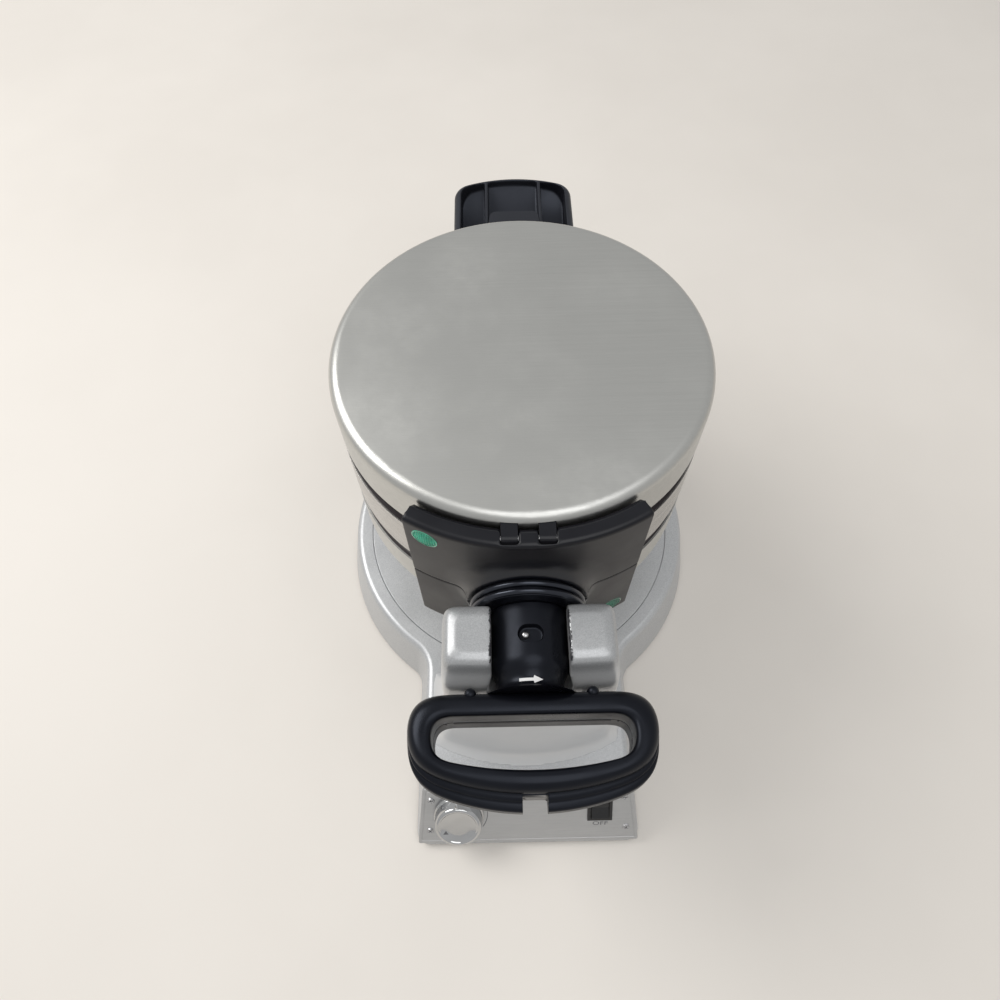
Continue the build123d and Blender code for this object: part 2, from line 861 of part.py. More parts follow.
def base_outline(inset):
    disc = Circle(base_radius - inset)
    half = trunk_half_width - inset
    front = trunk_front_y + inset
    trunk = Pos(0, front / 2) * Rectangle(2 * half, -front)
    plan = disc + trunk
    corners = plan.vertices().group_by(Axis.Y)[0]
    plan = fillet(corners, max(trunk_corner_round - inset, 1))
    throats = [
        vertex for vertex in plan.vertices()
        if abs(abs(vertex.X) - half) < 0.01 and abs(math.hypot(vertex.X, vertex.Y) - base_radius + inset) < 0.01
    ]
    return fillet(throats, trunk_throat_round + inset)


def base_body(inset, height, round_top):
    body = extrude(base_outline(inset), height, taper=base_draft)
    if round_top:
        body = fillet(body.faces().sort_by(Axis.Z)[-1].edges(), base_edge_round)
    return body - panel_half_space(inset)


def panel_half_space(depth):
    block = rod_up(2 * base_radius, -depth, 2 * base_radius)
    return panel_plane.location * block


def panel_outline(grow):
    low = panel_margin - grow
    high = panel_margin + panel_length + grow
    face = make_face(Polyline(
        (-panel_half_width - grow, low),
        (panel_half_width + grow, low),
        (panel_top_half_width + grow, high),
        (-panel_top_half_width - grow, high),
        close=True,
    ))
    return fillet(face.vertices(), panel_corner_round)


def panel_screw_places():
    places = []
    for up_slope in (panel_screw_low, panel_screw_high):
        share = (up_slope - panel_margin) / panel_length
        edge = panel_half_width + (panel_top_half_width - panel_half_width) * share
        for side in (-1, 1):
            places.append((side * (edge - panel_screw_inset), up_slope))
    return places


def boss_places():
    return around(base_screw_count, base_radius - base_screw_inset, 90)


def pedestal_screw_places():
    return [
        (side * pedestal_screw_x, y)
        for side in (-1, 1)
        for y in (collar_front_y + pedestal_screw_front, collar_front_y + pedestal_screw_rear)
    ]


def base_shell():
    roof = base_height - deck_recess - base_wall
    lower_cut = rod_up(2 * base_radius, -1, base_lift)
    shell = base_body(0, base_height, True) - base_body(base_wall, roof, False) - lower_cut
    shell -= rod_up(deck_radius + seat_gap, base_height - deck_recess, base_height + 1)
    cover_top = base_lift + cover_thickness
    for x, y in boss_places():
        shell += rod_up(base_boss_radius, cover_top, roof + base_wall / 2, x, y)
        shell -= rod_up(base_screw_radius + screw_gap, cover_top - 1, cover_top + base_screw_length, x, y)
    for x, y in pedestal_screw_places():
        shell -= rod_up(pedestal_screw_radius + screw_gap, roof - 1, base_height + 1, x, y)
    face = panel_plane.location
    shell -= face * (Location((0, 0, -panel_recess)) * extrude(panel_outline(seat_gap), 10))
    for u, v in panel_screw_places():
        depth = panel_screw_length + panel_recess
        shell -= face * rod_up(panel_screw_radius + screw_gap, -depth, 1, u, v)
    shell -= knob_seat * Cylinder(shaft_bush_radius + screw_gap, panel_length)
    shell -= switch_seat * Box(switch_body_width + 2 * screw_gap, switch_body_length + 2 * screw_gap, panel_length)
    shell -= rod_along_y(gland_radius + screw_gap, base_radius - gland_height, base_radius + 1, 0, gland_height)
    return shell


def deck():
    low = base_height - deck_recess
    disc = rod_up(deck_radius - running_gap, low, low + deck_thickness)
    return chamfer(disc.faces().sort_by(Axis.Z)[-1].edges(), 0.5)


def bottom_cover():
    inset = base_wall + base_lift * math.tan(math.radians(base_draft)) + running_gap
    outline = base_outline(inset + cover_thickness * math.tan(math.radians(base_draft)))
    plate = Location((0, 0, base_lift)) * extrude(outline, cover_thickness)
    for x, y in foot_places():
        plate -= rod_up(foot_plug_radius + seat_gap, base_lift, base_lift + cover_thickness, x, y)
    for x, y in boss_places():
        plate -= rod_up(base_screw_radius + screw_gap, base_lift, base_lift + cover_thickness, x, y)
        plate -= rod_up(base_screw_head_radius + screw_gap, base_lift, base_lift + base_screw_recess, x, y)
    return plate


def foot_places():
    front_y = trunk_front_y + front_foot_inset
    rear_feet = around(3, base_radius - foot_inset, foot_start_angle)[:2]
    return rear_feet + [(-front_foot_x, front_y), (front_foot_x, front_y)]


def feet():
    pieces = []
    for x, y in foot_places():
        pad = chamfer(rod_up(foot_radius, 0, base_lift, x, y).faces().sort_by(Axis.Z)[0].edges(), 0.5)
        pieces.append(pad + rod_up(foot_plug_radius, base_lift, base_lift + foot_plug_height, x, y))
    return group(pieces)


def base_screws():
    screws = []
    seat = base_lift + base_screw_recess
    for x, y in boss_places():
        shank = rod_up(base_screw_radius, seat, seat + base_screw_length, x, y)
        head = rod_up(base_screw_head_radius, seat - base_screw_head_height, seat, x, y)
        screws.append(shank + head)
    return group(screws)


def cord_gland():
    wall_y = base_radius - gland_height * math.tan(math.radians(base_draft))
    flange_y = base_radius
    return turned_about_y([
        (gland_hole_radius, wall_y - gland_inner_length),
        (gland_radius, wall_y - gland_inner_length),
        (gland_radius, flange_y),
        (gland_flange_radius, flange_y),
        (gland_flange_radius, flange_y + gland_flange_thickness),
        (gland_hole_radius, flange_y + gland_flange_thickness),
    ]).moved(Location((0, 0, gland_height)))


# Pedestal

def pedestal_section(size):
    height, half_width, rear, side, middle = size
    rear_y = collar_front_y + rear
    side_y = collar_front_y + side
    middle_y = collar_front_y + middle
    outline = Polyline((half_width, side_y), (half_width, rear_y), (-half_width, rear_y), (-half_width, side_y))
    front = ThreePointArc((-half_width, side_y), (0, middle_y), (half_width, side_y))
    return Location((0, 0, height)) * make_face(outline + front)


def pedestal():
    sections = (pedestal_foot, pedestal_ankle, pedestal_waist, pedestal_crown)
    body = loft([pedestal_section(size) for size in sections])
    corners = [edge for edge in body.edges() if abs((edge @ 0).Z - (edge @ 1).Z) > pedestal_top / 2]
    body = fillet(ShapeList(corners), pedestal_edge_round)
    trough = rod_along_y(trough_radius, -front_reach, -band_radius, 0, axis_height)
    slot = slab(
        -yoke_slot_half_width, yoke_slot_half_width, -front_reach, -band_radius, axis_height, pedestal_top + 1
    )
    seat_radius = journal_radius + journal_gap + bearing_wall + seat_gap
    seat = rod_along_y(seat_radius, bearing_front_y - seat_gap, bearing_rear_y + seat_gap, 0, axis_height)
    body = body - trough - slot
    crown = body.faces().group_by(Axis.Z)[-1].edges()
    body = fillet(crown, pedestal_edge_round) - seat
    for x, y in pedestal_screw_places():
        body -= rod_up(pedestal_screw_radius + screw_gap, base_height, base_height + pedestal_screw_length, x, y)
    return body


def neck_bearing():
    inner = journal_radius + journal_gap
    bush = rod_along_y(inner + bearing_wall, bearing_front_y, bearing_rear_y, 0, axis_height)
    bush -= rod_along_y(inner, bearing_front_y - 1, bearing_rear_y + 1, 0, axis_height)
    slot = slab(
        -yoke_slot_half_width, yoke_slot_half_width, -front_reach, -band_radius, axis_height, pedestal_top + 1
    )
    return bush - slot


def pedestal_screws():
    roof = base_height - deck_recess - base_wall
    screws = []
    for x, y in pedestal_screw_places():
        shank = rod_up(pedestal_screw_radius, roof, base_height + pedestal_screw_length, x, y)
        head = rod_up(pedestal_screw_head_radius, roof - pedestal_screw_head_height, roof, x, y)
        screws.append(shank + head)
    return group(screws)


# Control panel, browning control and switch

def panel_plate():
    low = -panel_recess
    plate = Location((0, 0, low)) * extrude(panel_outline(0), panel_thickness)
    plate = chamfer(plate.faces().sort_by(Axis.Z)[-1].edges(), 0.4)
    for u, v in panel_screw_places():
        plate -= rod_up(panel_screw_radius + screw_gap, low, 1, u, v)
    plate -= Location((knob_x, knob_up_slope, 0)) * Cylinder(shaft_bush_radius + screw_gap, panel_length)
    switch_hole = Box(switch_body_width + 2 * screw_gap, switch_body_length + 2 * screw_gap, panel_length)
    plate -= Location((switch_x, switch_up_slope, 0)) * switch_hole
    return panel_plane.location * plate


def panel_screws():
    top = panel_thickness - panel_recess
    screws = []
    for u, v in panel_screw_places():
        shank = rod_up(panel_screw_radius, -panel_screw_length, top, u, v)
        screws.append(shank + rod_up(panel_screw_head_radius, top, top + panel_screw_head_height, u, v))
    return panel_plane.location * group(screws)


def browning_control():
    face = panel_thickness - panel_recess
    back = -base_wall
    body = rod_up(control_body_radius, back - control_body_length, back)
    bush = rod_up(shaft_bush_radius, back, face + control_nut_thickness)
    nut = rod_up(control_nut_radius, face, face + control_nut_thickness)
    bore = rod_up(shaft_radius + pin_gap, back - control_body_length / 2, face + 5)
    return knob_seat * (body + bush + nut - bore)


def knob_shaft():
    face = panel_thickness - panel_recess
    low = -base_wall - control_body_length / 2 + seat_gap
    return knob_seat * rod_up(shaft_radius, low, face + knob_height - 2)


def browning_knob():
    face = panel_thickness - panel_recess + running_gap
    top = face + knob_height
    blank = turned([
        (0, face),
        (knob_radius, face),
        (knob_radius - knob_draft, top),
        (0, top),
    ])
    blank = fillet(blank.faces().sort_by(Axis.Z)[-1].edges(), knob_edge_round)
    blank -= rod_up(knob_dish_radius, top - knob_dish_depth, top + 1)
    blank -= rod_up(control_nut_radius + 1, face - 1, face + control_nut_thickness + 0.5)
    blank -= rod_up(shaft_radius + seat_gap, face - 1, panel_thickness - panel_recess + knob_height - 2 + seat_gap)
    return knob_seat * blank


def switch_body():
    face = panel_thickness - panel_recess
    body = slab(
        -switch_body_width / 2, switch_body_width / 2,
        -switch_body_length / 2, switch_body_length / 2, face - switch_body_depth, face,
    )
    bezel = slab(
        -switch_width / 2, switch_width / 2, -switch_length / 2, switch_length / 2, face, face + switch_bezel
    )
    bezel = chamfer(bezel.faces().sort_by(Axis.Z)[-1].edges(), 0.6)
    well = slab(
        -rocker_width / 2 - rocker_gap, rocker_width / 2 + rocker_gap,
        -rocker_length / 2 - rocker_gap - 0.4, rocker_length / 2 + rocker_gap + 0.4,
        face - rocker_well, face + 5,
    )
    reach = switch_body_width / 2
    axle = rod_along_x(rocker_pivot_radius, -reach, reach, 0, face - rocker_pivot_drop)
    return switch_seat * (body + bezel - well + axle)


def power_rocker():
    face = panel_thickness - panel_recess
    half = rocker_length / 2
    tilt = math.radians(rocker_swing / 2)
    crest = switch_bezel + 0.6
    side = Polyline(
        (0, crest), (half, crest + half * math.tan(tilt)), (half, -1.5), (0, -4.0), (-half, -1.5),
        (-half, crest + half * math.tan(tilt)), close=True,
    )
    paddle = extrude(make_face(Plane.YZ * side), rocker_width / 2, both=True)
    paddle = Rotation(-rocker_swing / 2, 0, 0) * paddle
    pivot = face - rocker_pivot_drop
    paddle = Location((0, 0, pivot)) * paddle
    return switch_seat * (paddle - rod_along_x(rocker_pivot_radius + pin_gap, -rocker_width, rocker_width, 0, pivot))


def stand_pieces():
    return {
        "base_shell": base_shell(),
        "deck_disc": deck(),
        "base_bottom_cover": bottom_cover(),
        "rubber_feet": feet(),
        "base_screws": base_screws(),
        "cord_gland": cord_gland(),
        "pedestal_yoke": pedestal(),
        "neck_bearing": neck_bearing(),
        "pedestal_screws": pedestal_screws(),
        "control_panel": panel_plate(),
        "control_panel_screws": panel_screws(),
        "browning_control": browning_control(),
        "power_switch_body": switch_body(),
        "browning_knob": browning_knob(),
        "browning_knob_shaft": knob_shaft(),
        "power_rocker": power_rocker(),
    }


def head_pieces():
    top = lid("top_lid")
    bottom = {name.replace("top", "bottom"): flip * piece for name, piece in top.items()}
    return {**middle_unit(), **housing(), **neck(), **turn_handle(), **rear_handle(), **top, **bottom}


def main():
    os.makedirs("parts", exist_ok=True)
    for name, piece in stand_pieces().items():
        export_step(stand_frame * piece, f"parts/{name}.step")
    for name, piece in head_pieces().items():
        export_step(head_frame * piece, f"parts/{name}.step")


if __name__ == "__main__":
    main()
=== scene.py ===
import math

import bmesh
import bpy
from mathutils import Matrix, Vector


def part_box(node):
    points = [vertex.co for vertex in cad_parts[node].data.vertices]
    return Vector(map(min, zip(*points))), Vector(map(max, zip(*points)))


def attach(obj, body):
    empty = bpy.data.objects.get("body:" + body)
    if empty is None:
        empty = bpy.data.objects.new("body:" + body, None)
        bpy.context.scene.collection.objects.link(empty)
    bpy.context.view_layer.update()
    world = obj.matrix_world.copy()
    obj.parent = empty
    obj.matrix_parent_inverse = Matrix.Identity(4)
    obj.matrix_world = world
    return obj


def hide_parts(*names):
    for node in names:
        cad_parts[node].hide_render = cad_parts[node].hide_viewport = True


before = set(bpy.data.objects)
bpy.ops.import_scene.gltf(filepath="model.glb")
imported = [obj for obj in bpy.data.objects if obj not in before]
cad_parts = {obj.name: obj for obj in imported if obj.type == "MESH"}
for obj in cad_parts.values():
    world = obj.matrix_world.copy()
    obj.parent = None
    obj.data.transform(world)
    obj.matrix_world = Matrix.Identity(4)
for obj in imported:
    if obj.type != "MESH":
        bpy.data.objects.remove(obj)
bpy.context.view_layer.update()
scene = bpy.context.scene
mm = 0.001  # sizes below are in millimetres and are scaled once
print("frame loaded:", len(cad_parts), "nodes")

# The head's centre carries the turning pieces, and everything is placed from it
bandLow, bandHigh = (Vector(corner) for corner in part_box("middle_band"))
headCentre = (bandLow + bandHigh) / 2
headCentre.x = 0
standCentre = Vector((0, headCentre.y, 0))


def headPoint(x, y, height):
    return headCentre + Vector((x, y, height)) * mm


def standPoint(x, y, height):
    return standCentre + Vector((x, y, height)) * mm


# Node helpers: a value is set, a socket is linked

def addNode(tree, kind, inputs=None, **settings):
    made = tree.nodes.new(kind)
    for name, value in settings.items():
        setattr(made, name, value)
    for name, value in (inputs or {}).items():
        if isinstance(value, bpy.types.NodeSocket):
            tree.links.new(value, made.inputs[name])
        else:
            made.inputs[name].default_value = value
    return made


def mixColour(tree, share, first, second):
    mix = addNode(tree, "ShaderNodeMix", {0: share, 6: first, 7: second}, data_type="RGBA")
    return mix.outputs[2]


def remap(tree, value, fromLow, fromHigh, toLow=0, toHigh=1):
    sockets = {0: value, 1: fromLow, 2: fromHigh, 3: toLow, 4: toHigh}
    return addNode(tree, "ShaderNodeMapRange", sockets).outputs[0]


def calculate(tree, operation, first, second=0):
    return addNode(tree, "ShaderNodeMath", {0: first, 1: second}, operation=operation).outputs[0]


def multiply(tree, first, second):
    return calculate(tree, "MULTIPLY", first, second)


def noise(tree, vector, scale, detail, roughness=0.5):
    sockets = {"Vector": vector, "Scale": scale, "Detail": detail, "Roughness": roughness}
    return addNode(tree, "ShaderNodeTexNoise", sockets).outputs[0]


def combine(tree, values):
    return addNode(tree, "ShaderNodeCombineXYZ", values).outputs[0]


def newGroup(name, inputs, outputs, kind="ShaderNodeTree"):
    group = bpy.data.node_groups.new(name, kind)
    for label, data, value in inputs:
        socket = group.interface.new_socket(label, in_out="INPUT", socket_type="NodeSocket" + data)
        if value is not None:
            socket.default_value = value
    for label, data in outputs:
        group.interface.new_socket(label, in_out="OUTPUT", socket_type="NodeSocket" + data)
    start = group.nodes.new("NodeGroupInput").outputs
    end = group.nodes.new("NodeGroupOutput")
    return group, start, end


# Shared effects
noiseSpan = (0.35, 0.65)  # most of a noise texture's values lie in here
surfaceSockets = (("Colour", "Color"), ("Roughness", "Float"), ("Height", "Float"))


def putOut(group, end, colour, rough, height):
    for name, socket in (("Colour", colour), ("Roughness", rough), ("Height", height)):
        group.links.new(socket, end.inputs[name])
    return group


def makeMouldGrain():
    group, start, end = newGroup("mouldGrain", [
        ("Vector", "Vector", None), ("Grain Scale", "Float", 900), ("Patch Scale", "Float", 22),
        ("Colour", "Color", (0.02, 0.02, 0.02, 1)), ("Patch Colour", "Color", (0.03, 0.03, 0.03, 1)),
        ("Roughness Low", "Float", 0.35), ("Roughness High", "Float", 0.5)], surfaceSockets)
    grain = noise(group, start["Vector"], start["Grain Scale"], detail=3, roughness=0.65)
    patch = noise(group, start["Vector"], start["Patch Scale"], detail=4, roughness=0.6)
    colour = mixColour(group, remap(group, patch, 0.38, 0.62), start["Colour"], start["Patch Colour"])
    rough = remap(group, patch, *noiseSpan, start["Roughness Low"], start["Roughness High"])
    return putOut(group, end, colour, rough, grain)


def makeBrushing():
    group, start, end = newGroup("brushing", [
        ("Vector", "Vector", None), ("Stretch", "Vector", (10, 2000, 2000)),
        ("Dark", "Color", (0.4, 0.4, 0.4, 1)), ("Light", "Color", (0.6, 0.6, 0.6, 1)),
        ("Roughness Low", "Float", 0.25), ("Roughness High", "Float", 0.4)], surfaceSockets)
    stretched = addNode(group, "ShaderNodeVectorMath", {
        0: start["Vector"], 1: start["Stretch"]}, operation="MULTIPLY").outputs[0]
    fine = noise(group, stretched, 1, detail=5, roughness=0.75)
    wide = noise(group, stretched, 0.12, detail=3, roughness=0.6)
    lines = calculate(group, "ADD", multiply(group, fine, 0.6), multiply(group, wide, 0.4))
    lineSpan = (0.34, 0.66)
    colour = mixColour(group, remap(group, lines, *lineSpan), start["Dark"], start["Light"])
    rough = remap(group, lines, *lineSpan, start["Roughness High"], start["Roughness Low"])
    return putOut(group, end, colour, rough, lines)


def makeHandling():
    group, start, end = newGroup("handling", [
        ("Vector", "Vector", None), ("Patch Scale", "Float", 16), ("Amount", "Float", 0.5)],
        [("Mask", "Float")])
    large = noise(group, start["Vector"], start["Patch Scale"], detail=3)
    fineScale = multiply(group, start["Patch Scale"], 9)
    small = noise(group, start["Vector"], fineScale, detail=4, roughness=0.7)
    broken = multiply(group, remap(group, large, 0.5, 0.68), remap(group, small, *noiseSpan, 0.4, 1))
    group.links.new(multiply(group, broken, start["Amount"]), end.inputs["Mask"])
    return group


def makePaintFlake():
    group, start, end = newGroup("paintFlake", [
        ("Vector", "Vector", None), ("Flake Scale", "Float", 3000),
        ("Base", "Color", (0.4, 0.4, 0.42, 1)), ("Bright", "Color", (0.6, 0.6, 0.62, 1)),
        ("Roughness Low", "Float", 0.3), ("Roughness High", "Float", 0.42)], surfaceSockets)
    flakes = addNode(group, "ShaderNodeTexVoronoi", {
        "Vector": start["Vector"], "Scale": start["Flake Scale"]})
    cells = addNode(group, "ShaderNodeSeparateColor", {0: flakes.outputs["Color"]})
    cloud = noise(group, start["Vector"], 30, detail=4)
    share = multiply(group, cells.outputs[0], remap(group, cloud, 0.3, 0.7, 0.7, 1))
    peel = noise(group, start["Vector"], 420, detail=2)
    rough = remap(group, cloud, *noiseSpan, start["Roughness Low"], start["Roughness High"])
    return putOut(group, end, mixColour(group, share, start["Base"], start["Bright"]), rough, peel)


mouldGrain = makeMouldGrain()
brushing = makeBrushing()
handling = makeHandling()
paintFlake = makePaintFlake()


# Materials

def startMaterial(name):
    material = bpy.data.materials.new(name)
    material.use_nodes = True
    tree = material.node_tree
    shader = tree.nodes["Principled BSDF"]
    place = tree.nodes.new("ShaderNodeTexCoord").outputs["Object"]
    return material, tree, shader, place


def placeGroup(tree, group, place, values):
    made = addNode(tree, "ShaderNodeGroup", node_tree=group)
    tree.links.new(place, made.inputs["Vector"])
    for name, value in values.items():
        made.inputs[name].default_value = value
    return made.outputs


def finishMaterial(tree, shader, parts, depth=0, strength=0.5, **fixed):
    # parts are linked, and fixed values go onto the shader's own sockets
    for name, socket in parts.items():
        if name == "Height":
            bump = addNode(tree, "ShaderNodeBump", {
                "Strength": strength, "Distance": depth * mm, "Height": socket})
            tree.links.new(bump.outputs[0], shader.inputs["Normal"])
        else:
            tree.links.new(socket, shader.inputs[name])
    for name, value in fixed.items():
        shader.inputs[name.replace("_", " ")].default_value = value


def smudged(tree, place, surface, scale, amount):
    # a group's outputs, with the gloss dulled in patches by hands
    mask = placeGroup(tree, handling, place, {"Patch Scale": scale, "Amount": amount})["Mask"]
    rough = calculate(tree, "ADD", surface["Roughness"], mask)
    return {"Base Color": surface["Colour"], "Roughness": rough, "Height": surface["Height"]}


def brushedSteel(name, stretch, dark, light, low, high, amount=0.1):
    material, tree, shader, place = startMaterial(name)
    lines = placeGroup(tree, brushing, place, {
        "Stretch": stretch, "Dark": dark, "Light": light, "Roughness Low": low, "Roughness High": high})
    parts = smudged(tree, place, lines, scale=14, amount=amount)
    finishMaterial(tree, shader, parts, depth=0.02, strength=0.35, Metallic=1)
    return material


def moulded(name, colour, patch, low, high, grainScale=1100, depth=0.03, smudge=0.08, **fixed):
    material, tree, shader, place = startMaterial(name)
    grain = placeGroup(tree, mouldGrain, place, {
        "Grain Scale": grainScale, "Colour": colour, "Patch Colour": patch,
        "Roughness Low": low, "Roughness High": high})
    parts = smudged(tree, place, grain, scale=24, amount=smudge)
    finishMaterial(tree, shader, parts, depth, strength=0.4, **fixed)
    return material


def painted(name, base, bright, low, high, metallic):
    material, tree, shader, place = startMaterial(name)
    paint = placeGroup(tree, paintFlake, place, {
        "Base": base, "Bright": bright, "Roughness Low": low, "Roughness High": high})
    parts = smudged(tree, place, paint, scale=12, amount=0.06)
    finishMaterial(tree, shader, parts, depth=0.03, strength=0.25, Metallic=metallic)
    return material, tree, shader, place, parts


def chippedPaint(name, base, bright, low, high, metallic, chipsAndPaintedLight):
    # lighter below the caps, as painted light on the front faces that the grip shades, and chipped to the
    # dark plastic at the caps' inner edges
    material, tree, shader, place, parts = painted(name, base, bright, low, high, metallic)
    axes = addNode(tree, "ShaderNodeSeparateXYZ", {0: place}).outputs
    across = calculate(tree, "ABSOLUTE", axes[0])
    nearSlot = remap(tree, across, chipsAndPaintedLight["from"] * mm, chipsAndPaintedLight["to"] * mm, 1, 0)
    onCap = remap(tree, axes[2], chipsAndPaintedLight["low"] * mm, chipsAndPaintedLight["high"] * mm)
    flecks = noise(tree, place, chipsAndPaintedLight["scale"], detail=5, roughness=0.7)
    share = multiply(tree, multiply(tree, nearSlot, onCap), flecks)
    chips = remap(tree, share, chipsAndPaintedLight["edge"], chipsAndPaintedLight["edge"] + chipsAndPaintedLight["softness"])
    # painted light: the paint is lighter below the caps, where the grip shades the front faces, and fades out
    # up to the caps
    paintedLight = remap(tree, axes[2], chipsAndPaintedLight["paintedLightBelow"] * mm, chipsAndPaintedLight["paintedLightGoneAbove"] * mm, 1, 0)
    paint = mixColour(tree, paintedLight, parts["Base Color"], chipsAndPaintedLight["paintedLight"])
    tree.links.new(mixColour(tree, chips, paint, chipsAndPaintedLight["plastic"]), shader.inputs["Base Color"])
    tree.links.new(remap(tree, chips, 0, 1, metallic, 0), shader.inputs["Metallic"])
    return material


brushedLid = brushedSteel(
    "brushedLid", (90, 4200, 4200), (0.53, 0.532, 0.513, 1), (0.6, 0.6, 0.58, 1), 0.3, 0.38)
bandSteel = brushedSteel(
    "sideBandSteel", (20, 20, 3600), (0.43, 0.42, 0.405, 1), (0.58, 0.568, 0.548, 1), 0.2, 0.32)
coolSheen = (0.76, 0.83, 1, 1)
deepBlack = ((0.0026, 0.0028, 0.0045, 1), (0.004, 0.0043, 0.0062, 1))
blackMoulding = moulded(
    "blackMoulding", *deepBlack, 0.26, 0.36, smudge=0.1, Specular_IOR_Level=0.26, Specular_Tint=coolSheen)
collarMoulding = moulded(
    "collarMoulding", *deepBlack, 0.14, 0.22, Specular_IOR_Level=0.7, Specular_Tint=coolSheen)
gripMoulding = moulded(
    "gripMoulding", (0.0025, 0.0027, 0.0043, 1), (0.0038, 0.0041, 0.006, 1), 0.26, 0.38, smudge=0.14,
    Specular_IOR_Level=0.26, Specular_Tint=coolSheen)
matteMoulding = moulded(
    "matteMoulding", (0.0085, 0.009, 0.0125, 1), (0.0125, 0.013, 0.0165, 1), 0.36, 0.5, depth=0.045,
    Specular_IOR_Level=0.45, Specular_Tint=coolSheen)

# two colours of one moulding: the face's is a painted reflection of the counter, the top and collar's a
# painted shade
housingFinish = {
    "shadedTopAndCollar": {"Colour": (0.0034, 0.0038, 0.0068, 1), "Patch Colour": (0.005, 0.0055, 0.009, 1),
                 "Roughness Low": 0.28, "Roughness High": 0.38, "Grain Scale": 1100},
    "plain": {"Colour": (0.019, 0.0185, 0.0205, 1), "Patch Colour": (0.026, 0.0248, 0.0268, 1),
              "Roughness Low": 0.34, "Roughness High": 0.46, "Grain Scale": 1100},
    "rim": (52.6, 54.8), "collar": (33, 45), "sheen": (0.32, 0.7),
}


def housingMaterial():
    # browner and lighter on the face, as a painted reflection of the counter, than on the rounded top and
    # round the collar, which are painted darker and bluer as painted shade and are glossier
    material, tree, shader, place = startMaterial("housingMoulding")
    top = placeGroup(tree, mouldGrain, place, housingFinish["shadedTopAndCollar"])
    face = placeGroup(tree, mouldGrain, place, housingFinish["plain"])
    axes = addNode(tree, "ShaderNodeSeparateXYZ", {0: place}).outputs
    above = calculate(tree, "SUBTRACT", axes[2], headCentre.z)
    rimFrom, rimTo = (height * mm for height in housingFinish["rim"])
    rim = remap(tree, calculate(tree, "ABSOLUTE", above), rimFrom, rimTo)
    squares = calculate(
        tree, "ADD", calculate(tree, "POWER", axes[0], 2), calculate(tree, "POWER", above, 2))
    near, far = (radius * mm for radius in housingFinish["collar"])
    collar = remap(tree, calculate(tree, "SQRT", squares), near, far, 1, 0)
    mask = calculate(tree, "MAXIMUM", rim, collar)
    # painted light: the face lighter and browner as a painted reflection, the rounded top and the collar
    # darker and bluer as painted shade
    parts = {
        "Base Color": mixColour(tree, mask, face["Colour"], top["Colour"]),
        "Roughness": remap(tree, mask, 0, 1, face["Roughness"], top["Roughness"]),
        "Height": face["Height"],
        "Specular IOR Level": remap(tree, collar, 0, 1, *housingFinish["sheen"]),
    }
    finishMaterial(tree, shader, parts, depth=0.03, strength=0.4)
    return material


housingMoulding = housingMaterial()
ringMoulding = moulded(
    "ringMoulding", (0.042, 0.035, 0.037, 1), (0.055, 0.046, 0.049, 1), 0.36, 0.5)
silverPaint = painted(
    "silverMoulding", (0.46, 0.471, 0.483, 1), (0.62, 0.63, 0.64, 1), 0.34, 0.44, 0.5)[0]
# the yoke's paint is chipped at the cap edges, and lighter below the caps as painted light
yokePaint = chippedPaint(
    "yokeMoulding", (0.36, 0.369, 0.378, 1), (0.5, 0.509, 0.519, 1), 0.3, 0.4, 0.45,
    {"from": 19.3, "to": 22.4, "low": 188.5, "high": 194, "scale": 330, "edge": 0.43, "softness": 0.03,
     "plastic": (0.03, 0.03, 0.035, 1), "paintedLightBelow": 180, "paintedLightGoneAbove": 190,
     "paintedLight": (0.68, 0.685, 0.69, 1)})
panelSheet = brushedSteel(
    "panelSheet", (60, 900, 900), (0.5, 0.505, 0.51, 1), (0.56, 0.563, 0.567, 1), 0.42, 0.5, 0.05)
chrome = brushedSteel(
    "chrome", (40, 60, 60), (0.5, 0.505, 0.51, 1), (0.6, 0.605, 0.61, 1), 0.05, 0.1, 0.04)
steel = brushedSteel(
    "steel", (300, 900, 900), (0.42, 0.42, 0.43, 1), (0.62, 0.62, 0.63, 1), 0.24, 0.4)
plateCoating = moulded(
    "plateCoating", (0.03, 0.03, 0.032, 1), (0.045, 0.043, 0.042, 1), 0.34, 0.5,
    grainScale=1600, depth=0.05, Metallic=0.2)
heaterSheath = brushedSteel(
    "heaterSheath", (200, 200, 200), (0.2, 0.15, 0.12, 1), (0.4, 0.36, 0.33, 1), 0.35, 0.5)
rubber = moulded("rubber", (0.014, 0.014, 0.014, 1), (0.022, 0.022, 0.022, 1), 0.6, 0.75, depth=0.06)
switchBlack = moulded(
    "switchBlack", (0.01, 0.01, 0.011, 1), (0.014, 0.014, 0.015, 1), 0.14, 0.24, depth=0.01)
bearingNylon = moulded("bearingNylon", (0.03, 0.03, 0.032, 1), (0.045, 0.045, 0.047, 1), 0.4, 0.55)
whiteInk = moulded("whiteInk", (0.82, 0.82, 0.82, 1), (0.7, 0.7, 0.71, 1), 0.5, 0.65, depth=0.01)
greyInk = moulded("greyInk", (0.09, 0.09, 0.1, 1), (0.14, 0.14, 0.15, 1), 0.5, 0.65, depth=0.01)


def lensMaterial(name, colour, deep, glow):
    material, tree, shader, place = startMaterial(name)
    grain = placeGroup(tree, mouldGrain, place, {
        "Grain Scale": 500, "Patch Scale": 160, "Colour": colour, "Patch Colour": deep,
        "Roughness Low": 0.12, "Roughness High": 0.22})
    parts = {"Base Color": grain["Colour"], "Roughness": grain["Roughness"], "Height": grain["Height"],
             "Emission Color": grain["Colour"]}
    finishMaterial(
        tree, shader, parts, depth=0.01, strength=0.3, Emission_Strength=glow, Coat_Weight=0.6)
    return material


